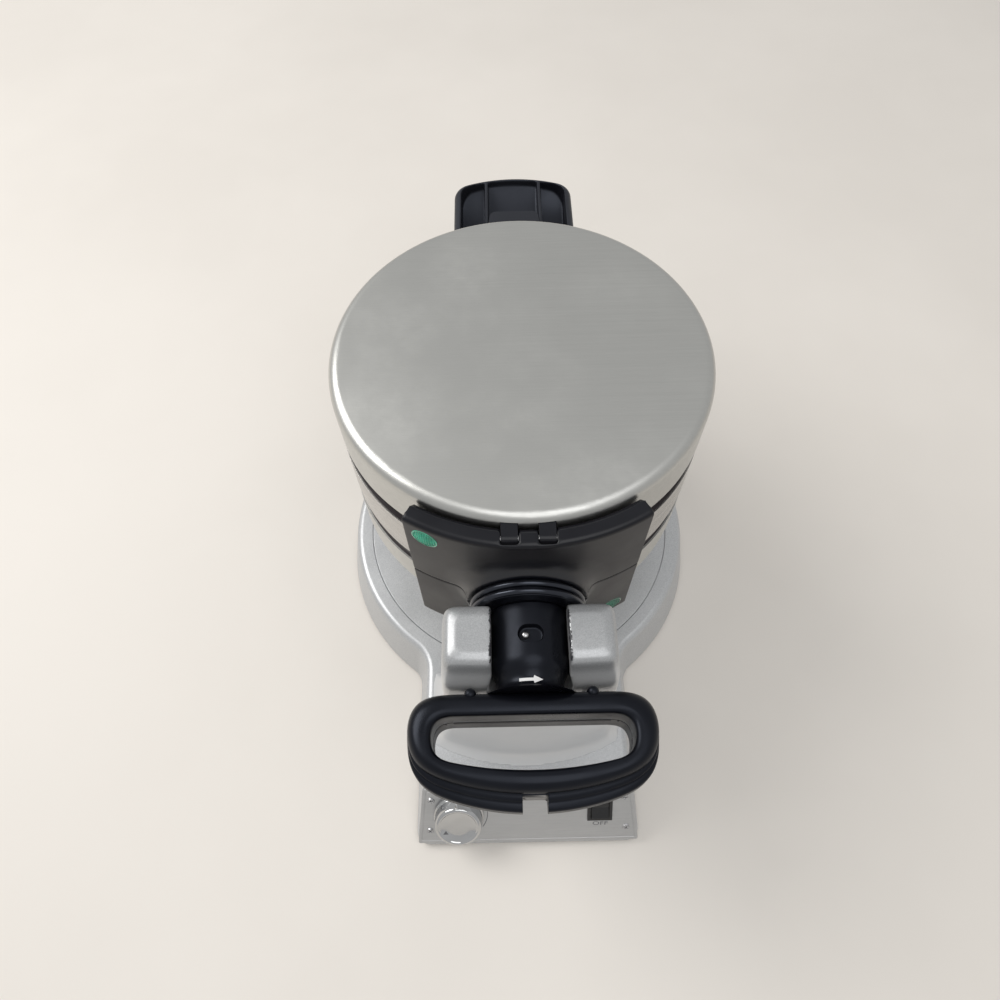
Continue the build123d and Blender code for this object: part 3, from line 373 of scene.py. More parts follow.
lensLit = lensMaterial("lensLit", (0.012, 0.36, 0.22, 1), (0.006, 0.22, 0.13, 1), 0.16)
lensDark = lensMaterial("lensDark", (0.01, 0.17, 0.1, 1), (0.006, 0.1, 0.06, 1), 0.02)


def glassMaterial():
    material, tree, shader, place = startMaterial("lampGlass")
    grain = placeGroup(tree, mouldGrain, place, {
        "Colour": (0.95, 0.75, 0.6, 1), "Patch Colour": (0.9, 0.6, 0.5, 1),
        "Roughness Low": 0.05, "Roughness High": 0.12})
    parts = {"Base Color": grain["Colour"], "Roughness": grain["Roughness"]}
    finishMaterial(tree, shader, parts, Transmission_Weight=0.8)
    return material


lampGlass = glassMaterial()
print("materials made:", len(bpy.data.materials))


# Mesh helpers

def linked(name, data):
    made = bpy.data.objects.new(name, data)
    scene.collection.objects.link(made)
    return made


def makeObject(name, vertices, faces):
    mesh = bpy.data.meshes.new(name)
    mesh.from_pydata([tuple(point) for point in vertices], [], faces)
    return linked(name, mesh)


def tidyMesh(shape, smoothAngle=30, dissolve=0):
    # doubles merged, faces outwards and shaded smooth up to an angle
    mergeGap = 0.004 * mm
    work = bmesh.new()
    work.from_mesh(shape.data)
    bmesh.ops.remove_doubles(work, verts=work.verts, dist=mergeGap)
    if dissolve:
        bmesh.ops.dissolve_limit(
            work, angle_limit=math.radians(dissolve), verts=work.verts, edges=work.edges,
            use_dissolve_boundaries=False, delimit={"NORMAL"})
    bmesh.ops.recalc_face_normals(work, faces=work.faces)
    work.to_mesh(shape.data)
    work.free()
    shape.data.shade_smooth()
    shape.data.set_sharp_from_angle(angle=math.radians(smoothAngle))


def softEdges(shape, width, segments=2, angle=38):
    bevel = shape.modifiers.new("softEdges", "BEVEL")
    bevel.width = width * mm
    bevel.segments = segments
    bevel.limit_method = "ANGLE"
    bevel.angle_limit = math.radians(angle)
    weighted = shape.modifiers.new("evenNormals", "WEIGHTED_NORMAL")
    weighted.keep_sharp = True


def coatMesh(mesh, material):
    mesh.materials.clear()
    mesh.materials.append(material)


def finishPiece(shape, material, body, nodes=()):
    coatMesh(shape.data, material)
    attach(shape, body)
    if nodes:
        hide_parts(*nodes)


def copied(node):
    return linked(node + "_skin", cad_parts[node].data.copy())


def dressed(node, material, body, edge):
    # the node's own shape as a smooth, closed mesh with softened edges
    shape = copied(node)
    tidyMesh(shape, dissolve=0.02)
    softEdges(shape, edge)
    finishPiece(shape, material, body, [node])


def coat(node, material):
    # a hidden node keeps its own mesh and only takes the material
    coatMesh(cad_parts[node].data, material)


def applied(shape):
    # bakes the modifiers into a plain mesh
    evaluated = shape.evaluated_get(bpy.context.evaluated_depsgraph_get())
    mesh = bpy.data.meshes.new_from_object(evaluated)
    shape.modifiers.clear()
    shape.data = mesh


def cutAway(shape, cutter):
    cut = shape.modifiers.new("cut", "BOOLEAN")
    cut.operation = "DIFFERENCE"
    cut.solver = "EXACT"
    cut.object = cutter
    applied(shape)
    bpy.data.objects.remove(cutter)


def joinPieces(shape, others):
    work = bmesh.new()
    work.from_mesh(shape.data)
    for other in others:
        work.from_mesh(other.data)
        bpy.data.objects.remove(other)
    work.to_mesh(shape.data)
    work.free()


def faceTowards(shape, direction):
    # printed marks have one side only
    if shape.data.polygons[0].normal.dot(direction) < 0:
        shape.data.flip_normals()


def moulding(shape, voxel, rounds):
    # an even skin whose edges are rounded as in a mould
    remesh = shape.modifiers.new("evenSkin", "REMESH")
    remesh.mode = "VOXEL"
    remesh.voxel_size = voxel * mm
    smooth = shape.modifiers.new("softSkin", "SMOOTH")
    smooth.factor = 0.5
    smooth.iterations = rounds
    applied(shape)
    shape.data.shade_smooth()


def skin(name, loops, ring=False):
    # faces between loops of equal length; a ring joins the last loop to the first
    count = len(loops[0])
    vertices = [point for loop in loops for point in loop]
    faces = []
    for level in range(len(loops) if ring else len(loops) - 1):
        low = level * count
        high = (level + 1) % len(loops) * count
        for step in range(count):
            after = (step + 1) % count
            faces.append((low + step, low + after, high + after, high + step))
    if not ring:
        faces.append(tuple(range(count)))
        faces.append(tuple(range(len(vertices) - count, len(vertices))))
    return makeObject(name, vertices, faces)


def prism(name, outline, levels, place):
    # an outline at each level, closed into a solid
    shape = skin(name, [[place(x, y, level) for x, y in outline] for level in levels])
    tidyMesh(shape)
    return shape


def rectangle(left, right, first, second):
    return [(left, first), (right, first), (right, second), (left, second)]


def turned(name, profile, place, segments):
    # profile holds (radius, along) pairs; ends on the axis are closed by a fan
    loops = []
    for radius, along in profile:
        angles = (math.tau * step / segments for step in range(segments))
        loops.append([place(radius * math.cos(angle), radius * math.sin(angle), along) for angle in angles])
    return skin(name, loops, ring=profile[0][0] > 0 and profile[-1][0] > 0)


def bowedOutline(half, rear, sideEnd, front, steps=40):
    # a straight rear, straight sides and a front on an arc through its middle
    rise = abs(front - sideEnd)
    radius = (half ** 2 + rise ** 2) / (2 * rise)
    sweep = math.asin(half / radius)
    outline = [(0, rear), (half, rear)]
    for angle in (sweep - 2 * sweep * step / steps for step in range(steps + 1)):
        outline.append((radius * math.sin(angle), front + radius - radius * math.cos(angle)))
    return outline + [(-half, rear)]


def evenLoop(corners, softness, count):
    # even points round a closed outline, whose corners are averaged over a length in mm
    points = [Vector(corner) for corner in corners]
    lengths = [(points[(n + 1) % len(points)] - points[n]).length for n in range(len(points))]
    spacing = sum(lengths) / count
    even, leg, start = [], 0, 0
    for number in range(count):
        along = number * spacing
        while leg < len(points) - 1 and along > start + lengths[leg]:
            start += lengths[leg]
            leg += 1
        share = (along - start) / lengths[leg]
        even.append(points[leg].lerp(points[(leg + 1) % len(points)], min(share, 1)))
    reach = max(1, round(softness / spacing))
    weights = [math.cos(offset / (reach + 1) * math.pi / 2) for offset in range(-reach, reach + 1)]
    total = sum(weights)
    rounded = []
    for number in range(count):
        mean = Vector((0, 0))
        for offset, weight in zip(range(-reach, reach + 1), weights):
            mean += even[(number + offset) % count] * weight
        rounded.append(mean / total)
    return rounded


# Upright with its two prongs

yoke = {
    # height, half width, rear, front at the sides, front in the middle
    "levels": (
        (40, 61, -113.5, -161.5, -177), (41.2, 59, -115.4, -159.8, -174.6),
        (43, 57.6, -116.6, -158.6, -172.8), (47, 55.4, -118, -157.4, -170),
        (54, 52.6, -120.4, -157, -168.2), (64, 50.2, -122.2, -158.2, -166.8),
        (84, 48.4, -124.6, -161, -165.8), (120, 46.2, -127.2, -164, -165.9),
        (150, 44.9, -128.2, -164.6, -165.9), (165, 44.5, -128, -164.5, -165.9),
        (173, 44.1, -127.6, -164.4, -165.8), (178, 43.9, -127.4, -163.8, -165),
        (181, 43.6, -127.2, -162.5, -163.6), (184, 43.3, -127.2, -160.7, -161.8),
        (186.5, 43, -127.1, -159.3, -160.4), (189.4, 42.7, -127.1, -158.5, -159.6),
        (192.4, 41.9, -127.7, -157.6, -158.7), (194.8, 40, -129.6, -155.8, -156.8),
        (196, 36.4, -132.8, -152.4, -153.3),
    ),
    "rowStep": 1.5, "arcSteps": 16, "points": 180, "softness": 6, "voxel": 1, "rounds": 12,
    "slotHalfWidth": 18.9, "slotTop": 205, "slotEnds": (-100, -190),
    "axis": 175, "troughRadius": 20.35, "troughSteps": 40,
}


def easedRows(rows, step):
    # more rows between the given ones, on a curve that never overshoots; the first stretch stays straight
    slopes = []
    for column in zip(*rows):
        pairs = zip(rows, rows[1:], column, column[1:])
        steps = [(after - before) / (high[0] - low[0]) for low, high, before, after in pairs]
        middle = [2 * a * b / (a + b) if a * b > 0 else 0 for a, b in zip(steps, steps[1:])]
        slopes.append([steps[0]] + middle + [steps[-1]])
    filled = []
    for number, (low, high) in enumerate(zip(rows, rows[1:])):
        span = high[0] - low[0]
        parts = max(1, round(span / step))
        for t in (part / parts for part in range(parts)):
            row = []
            for start, end, slope in zip(low, high, slopes):
                bend = (1 - t) * slope[number] - t * slope[number + 1]
                curve = t * t * (3 - 2 * t) * (end - start) + t * (1 - t) * span * bend
                row.append(start + (curve if number else t * (end - start)))
            filled.append(row)
    return filled + [list(rows[-1])]


def makeYoke():
    loops = []
    for height, halfWidth, rear, side, middle in easedRows(yoke["levels"], yoke["rowStep"]):
        outline = bowedOutline(halfWidth, rear, side, middle, yoke["arcSteps"])
        edge = evenLoop(outline, yoke["softness"], yoke["points"])
        loops.append([standPoint(x, y, height) for x, y in edge])
    shape = skin("yokeSkin", loops)
    tidyMesh(shape)

    # slot for the neck, with the round trough it lies in
    radius, half = yoke["troughRadius"], yoke["slotHalfWidth"]
    axis, count = yoke["axis"], yoke["troughSteps"]
    turn = math.acos(half / radius)
    angles = [-math.pi - turn + (math.pi + 2 * turn) * step / count for step in range(count + 1)]
    outline = [(radius * math.cos(angle), axis + radius * math.sin(angle)) for angle in angles]
    outline += [(half, yoke["slotTop"]), (-half, yoke["slotTop"])]
    cutAway(shape, prism("yokeCutter", outline, yoke["slotEnds"], lambda x, z, y: standPoint(x, y, z)))
    moulding(shape, yoke["voxel"], yoke["rounds"])
    finishPiece(shape, yokePaint, "base", ["pedestal_yoke"])


# Turn handle: a rounded loop whose lower skirt runs forward in two steps

grip = {
    "rear": -168.9, "halfWidth": 59.3, "sideEnd": -201.5, "softness": 24, "points": 260,
    "tubeFront": -215, "skirtFront": -222.3, "skirtSide": 6,
    "holeRear": -180.2, "holeHalfWidth": 47.4, "holeSideEnd": -198.4, "holeFront": -204.6, "holeSoftness": 12,
    # inset from the outline, share of the skirt, height
    "outside": (
        (6.4, 0, 14), (4.4, 0, 13.7), (2.7, 0, 12.9), (1.3, 0, 11.6), (0.4, 0, 9.9), (0.1, 0, 8.6),
        (0.5, 0.02, 7.9), (0.5, 0.2, 7.5), (0.1, 0.34, 7), (0, 0.42, 6.2), (0.5, 0.46, 5.6), (0.5, 0.62, 5.1),
        (0.1, 0.86, 4.7), (0, 0.97, 3.7), (0, 1, 2.6), (0, 1, 0.9), (0.12, 1, 0.2), (0.4, 1, 0),
    ),
    # growth of the hole, height
    "inside": ((0.4, 0), (0, 0.4), (0, 4), (0, 8), (0, 11), (0.3, 12.4), (1, 13.3), (2.2, 13.9)),
    "edge": 0.5, "edgeAngle": 50,
    "notchHalfWidth": 5.75, "notchRear": -214.9, "notchFront": -230, "notchHeights": (-20, 20),
    "bossX": 29.3, "bossY": -169.5, "bossRadius": 2.9, "bossSegments": 32,
    # share of the boss's radius, height
    "boss": ((0, 13.2), (0.5, 12.9), (0.85, 11.9), (1, 10.4), (1, 1), (0, 1)),
}


def gripOutline(inset, skirt):
    front = grip["tubeFront"] + (grip["skirtFront"] - grip["tubeFront"]) * skirt + inset
    sideEnd = grip["sideEnd"] - grip["skirtSide"] * skirt
    outline = bowedOutline(grip["halfWidth"] - inset, grip["rear"] - inset, sideEnd, front)
    return evenLoop(outline, grip["softness"], grip["points"])


def holeOutline(growth):
    rear, front = grip["holeRear"] + growth, grip["holeFront"] - growth
    outline = bowedOutline(grip["holeHalfWidth"] + growth, rear, grip["holeSideEnd"], front)
    return evenLoop(outline, grip["holeSoftness"], grip["points"])


def makeGripShell(name, node, side):
    loops = [[headPoint(x, y, side * h) for x, y in holeOutline(growth)] for growth, h in grip["inside"]]
    for inset, skirt, h in grip["outside"]:
        loops.append([headPoint(x, y, side * h) for x, y in gripOutline(inset, skirt)])
    shape = skin(name, loops, ring=True)
    tidyMesh(shape, 40)
    half = grip["notchHalfWidth"]
    notch = rectangle(-half, half, grip["notchRear"], grip["notchFront"])
    cutAway(shape, prism("notchCutter", notch, grip["notchHeights"], headPoint))
    softEdges(shape, grip["edge"], angle=grip["edgeAngle"])
    applied(shape)
    profile = [(grip["bossRadius"] * share, side * h) for share, h in grip["boss"]]
    bosses = []
    for middle in (-grip["bossX"], grip["bossX"]):
        bosses.append(turned(
            name + "Boss", profile, lambda x, y, h: headPoint(middle + x, grip["bossY"] + y, h),
            grip["bossSegments"]))
    joinPieces(shape, bosses)
    tidyMesh(shape, 34)
    finishPiece(shape, gripMoulding, "head", [node])


# Neck between the collar and the handle, with the screw recess and a turning arrow

neck = {
    # radius, place along the neck
    "profile": (
        (16.2, -118), (16.2, -126.4), (19.6, -126.7), (20, -127.2), (20, -153), (19.8, -155.2),
        (19.1, -157.4), (18, -159.4), (17, -161.4), (16.5, -163.2), (16.5, -164.8), (17, -166.4),
        (18.2, -167.8), (20.6, -168.9), (23.5, -169.4),
    ),
    "segments": 160, "edge": 0.45,
    "recessX": 0.5, "recessY": -143, "recessHalfLength": 6.2, "recessRadius": 4.4, "recessSegments": 48,
    # size of the recess, height
    "recessWalls": ((0.72, 16), (0.9, 16.3), (1, 17.3), (1.1, 22)),
    "screwX": -2.2, "screwSegments": 48,
    "screw": ((0, 8), (1.4, 8), (1.4, 16), (2, 16.1), (2, 16.9), (1.72, 17.7), (1.1, 18.2), (0, 18.4)),
}


def neckRadius(y):
    rows = neck["profile"]
    for (nearRadius, near), (farRadius, far) in zip(rows, rows[1:]):
        if far <= y <= near:
            return nearRadius + (farRadius - nearRadius) * (near - y) / (near - far)
    return rows[-1][0]


def recessPoint(step, size):
    # a round ended slot, drawn smaller or larger about its middle
    angle = math.tau * step / neck["recessSegments"]
    x, y = neck["recessRadius"] * math.cos(angle), neck["recessRadius"] * math.sin(angle)
    x += math.copysign(neck["recessHalfLength"] - neck["recessRadius"], x)
    return neck["recessX"] + x * size, neck["recessY"] + y * size


def makeNeck():
    rows = neck["profile"]
    profile = [(0, rows[0][1]), *rows, (0, rows[-1][1])]
    shape = turned("neckSkin", profile, lambda x, h, y: headPoint(x, y, h), neck["segments"])
    tidyMesh(shape, 50)
    loops = []
    for size, h in neck["recessWalls"]:
        loops.append([headPoint(*recessPoint(step, size), h) for step in range(neck["recessSegments"])])
    cutter = skin("recessCutter", loops)
    tidyMesh(cutter)
    cutAway(shape, cutter)
    softEdges(shape, neck["edge"], 3)
    applied(shape)
    tidyMesh(shape, 50)
    finishPiece(shape, blackMoulding, "head", ["neck_tube"])

    screw = turned(
        "neckScrewSkin", neck["screw"], lambda x, y, h: headPoint(neck["screwX"] + x, neck["recessY"] + y, h),
        neck["screwSegments"])
    tidyMesh(screw, 40)
    finishPiece(screw, steel, "head", ["neck_screw"])


arrow = {
    "left": -5.8, "right": 5.6, "headFrom": 1.2, "y": -164.6, "shaftHalf": 0.75, "headHalf": 2, "proud": 0.04,
    "strips": 40, "across": (-1, -0.5, 0, 0.5, 1),
}


def makeArrow():
    # printed mark, laid on the neck strip by strip
    strips, across = arrow["strips"], arrow["across"]
    vertices, faces = [], []
    for step in range(strips + 1):
        x = arrow["left"] + (arrow["right"] - arrow["left"]) * step / strips
        half = arrow["shaftHalf"]
        if x >= arrow["headFrom"]:
            half = arrow["headHalf"] * (arrow["right"] - x) / (arrow["right"] - arrow["headFrom"])
        for part in across:
            y = arrow["y"] + part * half
            radius = neckRadius(y) + arrow["proud"]
            vertices.append(headPoint(x, y, math.sqrt(radius ** 2 - x ** 2)))
    count = len(across)
    for step in range(strips):
        for first in range(step * count, step * count + count - 1):
            faces.append((first, first + count, first + count + 1, first + 1))
    shape = makeObject("turnArrow", vertices, faces)
    tidyMesh(shape, 60)
    faceTowards(shape, Vector((0, 0, 1)))
    finishPiece(shape, whiteInk, "head")


# Indicator lenses with their moulded lattice

lens = {
    "radius": 6.9, "dome": 0.95, "rim": 0.7, "ribPitch": 1.3, "ribDepth": 0.34, "thickness": 3.5,
    "rings": 60, "segments": 144, "centre": 0.02, "angle": 25.6, "housing": 115, "height": 45,
}


def lensLoop(side, reach, behind=0):
    # one ring of a low dome, whose middle is pressed into a lattice
    turn = Matrix.Rotation(math.radians(-lens["angle"] * side), 3, "Z")
    loop = []
    for step in range(lens["segments"]):
        angle = math.tau * step / lens["segments"]
        u, v = reach * math.cos(angle), reach * math.sin(angle)
        rise = lens["dome"] * (1 - (reach / lens["radius"]) ** 2) - behind
        if reach < lens["radius"] - lens["rim"]:
            wave = math.cos(math.tau * u / lens["ribPitch"]) + math.cos(math.tau * v / lens["ribPitch"])
            rise += lens["ribDepth"] * (wave / 2 - 1)
        place = turn @ Vector((u, -lens["housing"] - rise, v))
        loop.append(headPoint(place.x, place.y, side * lens["height"] + v))
    return loop


def makeLens(name, node, side, material):
    radius, rings = lens["radius"], lens["rings"]
    loops = [lensLoop(side, radius, lens["thickness"])]
    for number in range(rings + 1):
        loops.append(lensLoop(side, max(radius * (1 - number / rings), lens["centre"])))
    shape = skin(name, loops)
    tidyMesh(shape, 50)
    finishPiece(shape, material, "head", [node])


# Hinge housing: a curved block whose face swells into the collar

housing = {
    "outer": 115, "inner": 104.05, "waistInner": 103.1, "waistHeight": 17, "waistStep": 0.1,
    "top": 56, "edge": 2.6, "edgeSteps": 6, "relief": 3, "flare": 8, "collar": 30, "collarRear": 118.4,
    "halfAngle": 31.5, "slices": 180, "voxel": 0.7, "rounds": 4,
    # heights at the parting line with their share of its depth, then rows 1 mm apart up the face
    "partingDepth": 0.3, "parting": ((0, 1), (0.35, 0.3), (0.8, 0)), "faceFrom": 1.6, "faceRows": 51,
    "lugInner": 4.7, "lugOuter": 13.3, "slotFront": -112.9, "slotRear": -99, "slotFloor": 48.5, "slotTop": 58,
}


def housingReach(angle, height):
    # radius of the outer face, lifted round the collar
    radius = housing["outer"]
    x, y = radius * math.sin(angle), radius * math.cos(angle)
    out = math.hypot(x, height) - housing["collar"]
    flare = housing["flare"]
    if out < flare:
        climb = flare - math.sqrt(flare ** 2 - (flare - out) ** 2) if out > 0 else flare
        y = min(y + climb, housing["collarRear"])
    return math.hypot(x, y)


def housingSection(angle, side):
    top, edge, relief = housing["top"], housing["edge"], housing["relief"]
    section = []
    for height, share in housing["parting"]:
        section.append((housingReach(angle, height) - housing["partingDepth"] * share, height))
    for height in [housing["faceFrom"] + step for step in range(housing["faceRows"])] + [top - edge]:
        section.append((housingReach(angle, height), height))
    for step in range(1, housing["edgeSteps"] + 1):
        turn = math.pi / 2 * step / housing["edgeSteps"]
        section.append((housing["outer"] - edge + edge * math.cos(turn), top - edge + edge * math.sin(turn)))
    inner, waist, waistInner = housing["inner"], housing["waistHeight"], housing["waistInner"]
    section += [(inner + relief, top), (inner, top - relief), (inner, waist),
                (waistInner, waist - housing["waistStep"]), (waistInner, 0)]
    return [headPoint(r * math.sin(angle), -r * math.cos(angle), side * h) for r, h in section]


def makeHousing(name, node, side):
    half = math.radians(housing["halfAngle"])
    slices = housing["slices"]
    angles = [-half + 2 * half * step / slices for step in range(slices + 1)]
    shape = skin(name, [housingSection(angle, side) for angle in angles])
    tidyMesh(shape, 32)
    inner, outer = housing["lugInner"], housing["lugOuter"]
    heights = (side * housing["slotFloor"], side * housing["slotTop"])
    for left, right in ((inner, outer), (-outer, -inner)):
        corners = rectangle(left, right, housing["slotFront"], housing["slotRear"])
        cutAway(shape, prism("slotCutter", corners, heights, headPoint))
    moulding(shape, housing["voxel"], housing["rounds"])
    finishPiece(shape, housingMoulding, "head", [node])


# Control panel, knob and labels, placed on the slope: u across, v up the slope, w outwards

panel = {
    "footY": -216.466, "footHeight": 6, "slope": 49.8,
    "low": -0.4, "high": 43.2, "lowHalfWidth": 71.2, "highHalfWidth": 66.4,
    "cornerSoftness": 1.6, "points": 320,
    # inset from the edge, height above the slope
    "rows": ((0, -0.9), (0, 0.25), (0.3, 0.5), (1.9, 0.5), (2.05, 0.34), (2.4, 0.34), (2.55, 0.5)),
    # left, right, low and high edge of the switch's hole
    "hole": (39.4, 52.6, 16.9, 36.1), "holeDepths": (-3, 3),
    "knob": (-44, 23), "printHeight": 0.53,
}


def panelPoint(u, v, w):
    slope = math.radians(panel["slope"])
    y = panel["footY"] + v * math.cos(slope) - w * math.sin(slope)
    return standPoint(u, y, panel["footHeight"] + v * math.sin(slope) + w * math.cos(slope))


def makePanel():
    loops = []
    for inset, w in panel["rows"]:
        low, high = panel["low"] + inset, panel["high"] - inset
        lowHalf, highHalf = panel["lowHalfWidth"] - inset, panel["highHalfWidth"] - inset
        outline = [(0, low), (lowHalf, low), (highHalf, high), (-highHalf, high), (-lowHalf, low)]
        edge = evenLoop(outline, panel["cornerSoftness"], panel["points"])
        loops.append([panelPoint(u, v, w) for u, v in edge])
    shape = skin("panelSkin", loops)
    tidyMesh(shape, 25)
    cutAway(shape, prism("switchHole", rectangle(*panel["hole"]), panel["holeDepths"], panelPoint))
    tidyMesh(shape, 25)
    finishPiece(shape, panelSheet, "base", ["control_panel"])


def finishPrint(shape):
    faceTowards(shape, panelPoint(0, 0, 1) - panelPoint(0, 0, 0))
    finishPiece(shape, greyInk, "base")


knob = {
    # radius, height above the slope
    "profile": (
        (0, 2.9), (7.5, 2.9), (7.5, 0.9), (15.6, 0.8), (15.95, 1.1), (16, 1.6), (16, 2.9), (15.8, 3.5),
        (15.2, 3.8), (14.95, 4.2), (14.9, 5), (14.6, 11.2), (14.35, 12), (13.8, 12.5), (13.1, 12.75),
        (12.4, 12.75), (11.9, 12.55), (11.6, 12.15), (11.2, 12), (6, 11.9), (0, 11.88),
    ),
    "segments": 144,
    "pointer": ((11, 0), (8.2, 1.5), (8.2, -1.5)), "pointerTurn": 210, "pointerHeights": (11.76, 12.06),
}


def makeKnob():
    u, v = panel["knob"]
    shape = turned("knobSkin", knob["profile"], lambda x, y, w: panelPoint(u + x, v + y, w), knob["segments"])
    tidyMesh(shape, 48)
    finishPiece(shape, chrome, "knob", ["browning_knob"])
    turn = Matrix.Rotation(math.radians(knob["pointerTurn"]), 2)
    corners = [turn @ Vector(corner) for corner in knob["pointer"]]
    mark = prism("knobPointer", corners, knob["pointerHeights"], lambda x, y, w: panelPoint(u + x, v + y, w))
    finishPiece(mark, greyInk, "knob")


# A line that grows round the knob from light to dark browning
browningArc = {"radius": 18.2, "from": -35, "to": 78, "thin": 0.12, "thick": 0.55, "steps": 60}


def makeBrowningArc():
    u, v = panel["knob"]
    steps = browningArc["steps"]
    inner, outer = [], []
    for step in range(steps + 1):
        share = step / steps
        angle = math.radians(browningArc["to"] + (browningArc["from"] - browningArc["to"]) * share)
        half = (browningArc["thin"] + (browningArc["thick"] - browningArc["thin"]) * share) / 2
        for line, radius in ((inner, browningArc["radius"] - half), (outer, browningArc["radius"] + half)):
            x, y = radius * math.cos(angle), radius * math.sin(angle)
            line.append(panelPoint(u + x, v + y, panel["printHeight"]))
    faces = [(n, n + 1, steps + n + 2, steps + n + 1) for n in range(steps)]
    finishPrint(makeObject("browningArc", inner + outer, faces))


labels = {
    "words": {"OFF": (46.4, 13.1), "ON": (46.4, 39.9)}, "size": 4.6, "wide": 1.25, "high": 0.9, "curve": 6,
}


def makeLabels():
    for word, (u, v) in labels["words"].items():
        text = bpy.data.curves.new("label" + word, "FONT")
        text.body = word
        text.size = labels["size"]
        text.align_x = text.align_y = "CENTER"
        text.resolution_u = labels["curve"]
        source = linked("label" + word, text)
        mesh = bpy.data.meshes.new_from_object(source.evaluated_get(bpy.context.evaluated_depsgraph_get()))
        bpy.data.objects.remove(source)
        for vertex in mesh.vertices:
            x, y = vertex.co.x * labels["wide"], vertex.co.y * labels["high"]
            vertex.co = panelPoint(u + x, v + y, panel["printHeight"])
        finishPrint(linked("label" + word, mesh))


# Pan head screws with cross recesses, set out by nodes

screws = {
    "sizes": {"Head Radius": 2.3, "Head Height": 0.9, "Slot Width": 0.55, "Slot Length": 2.9},
    "shoulder": 0.7, "slotDepth": 1.2, "corners": 40, "seat": 0.5, "seed": 7,
    "places": ((63, 10), (-63, 10), (61.4, 34), (-61.4, 34)),
}


def makeScrewTree():
    tree, start, end = newGroup("panHeadScrews", [
        ("Geometry", "Geometry", None), *[(label, "Float", None) for label in (*screws["sizes"], "Tilt")],
        ("Seed", "Int", None), ("Material", "Material", None)],
        [("Geometry", "Geometry")], "GeometryNodeTree")
    shoulder = multiply(tree, start["Head Radius"], screws["shoulder"])
    head = addNode(tree, "GeometryNodeMeshCone", {
        "Vertices": screws["corners"], "Radius Top": shoulder, "Radius Bottom": start["Head Radius"],
        "Depth": start["Head Height"]})
    cross = addNode(tree, "GeometryNodeMeshBoolean", operation="DIFFERENCE")
    tree.links.new(head.outputs[0], cross.inputs[0])
    lift = combine(tree, {2: start["Head Height"]})
    depth = multiply(tree, start["Head Height"], screws["slotDepth"])
    for first, second in (("Slot Width", "Slot Length"), ("Slot Length", "Slot Width")):
        size = combine(tree, {0: start[first], 1: start[second], 2: depth})
        bar = addNode(tree, "GeometryNodeMeshCube", {"Size": size})
        raised = addNode(tree, "GeometryNodeTransform", {"Geometry": bar.outputs[0], "Translation": lift})
        tree.links.new(raised.outputs[0], cross.inputs[1])
    spin = addNode(tree, "FunctionNodeRandomValue", {
        2: 0, 3: math.pi / 2, "Seed": start["Seed"]}, data_type="FLOAT")
    leaning = addNode(tree, "FunctionNodeEulerToRotation", {0: combine(tree, {0: start["Tilt"]})})
    spinning = addNode(tree, "FunctionNodeEulerToRotation", {0: combine(tree, {2: spin.outputs[1]})})
    pose = addNode(tree, "FunctionNodeRotateRotation", {
        0: leaning.outputs[0], 1: spinning.outputs[0]}, rotation_space="LOCAL")
    placed = addNode(tree, "GeometryNodeInstanceOnPoints", {
        "Points": start["Geometry"], "Instance": cross.outputs[0], "Rotation": pose.outputs[0]})
    real = addNode(tree, "GeometryNodeRealizeInstances", {0: placed.outputs[0]})
    coated = addNode(tree, "GeometryNodeSetMaterial", {
        "Geometry": real.outputs[0], "Material": start["Material"]})
    tree.links.new(coated.outputs[0], end.inputs[0])
    return tree


def setNodeInputs(modifier, values):
    for item in modifier.node_group.interface.items_tree:
        if item.in_out == "INPUT" and item.name in values:
            modifier[item.identifier] = values[item.name]


def makePanelScrews():
    seats = [panelPoint(u, v, screws["seat"]) for u, v in screws["places"]]
    shape = makeObject("panelScrewHeads", seats, [])
    nodes = shape.modifiers.new("screws", "NODES")
    nodes.node_group = makeScrewTree()
    sizes = {label: size * mm for label, size in screws["sizes"].items()}
    setNodeInputs(nodes, {
        **sizes, "Tilt": math.radians(panel["slope"]), "Seed": screws["seed"], "Material": steel})
    applied(shape)
    tidyMesh(shape)
    finishPiece(shape, steel, "base", ["control_panel_screws"])


makeYoke()
makeGripShell("gripUpperSkin", "turn_handle_upper", 1)
makeGripShell("gripLowerSkin", "turn_handle_lower", -1)
makeNeck()
makeArrow()
print("yoke, turn handle and neck made")
makeLens("upperLensSkin", "upper_indicator_lens", 1, lensLit)
makeLens("lowerLensSkin", "lower_indicator_lens", -1, lensDark)
makeHousing("housingUpperSkin", "hinge_housing_upper", 1)
makeHousing("housingLowerSkin", "hinge_housing_lower", -1)
print("lenses and hinge housing made")
makePanel()
makeKnob()
makeBrowningArc()
makeLabels()
makePanelScrews()
print("control panel made")

# Stand
for node, material, edge in (
    ("base_shell", silverPaint, 0.5),
    ("deck_disc", silverPaint, 0.4),
    ("power_switch_body", switchBlack, 0.35),
    ("cord_gland", rubber, 0.6),
    ("base_bottom_cover", matteMoulding, 0.3),
    ("rubber_feet", rubber, 0.3),
    ("neck_bearing", bearingNylon, 0.2),
):
    dressed(node, material, "base", edge)
dressed("power_rocker", switchBlack, "rocker", 0.4)
for node in ("base_screws", "pedestal_screws", "browning_knob_shaft"):
    coat(node, steel)
coat("browning_control", matteMoulding)
print("stand dressed")

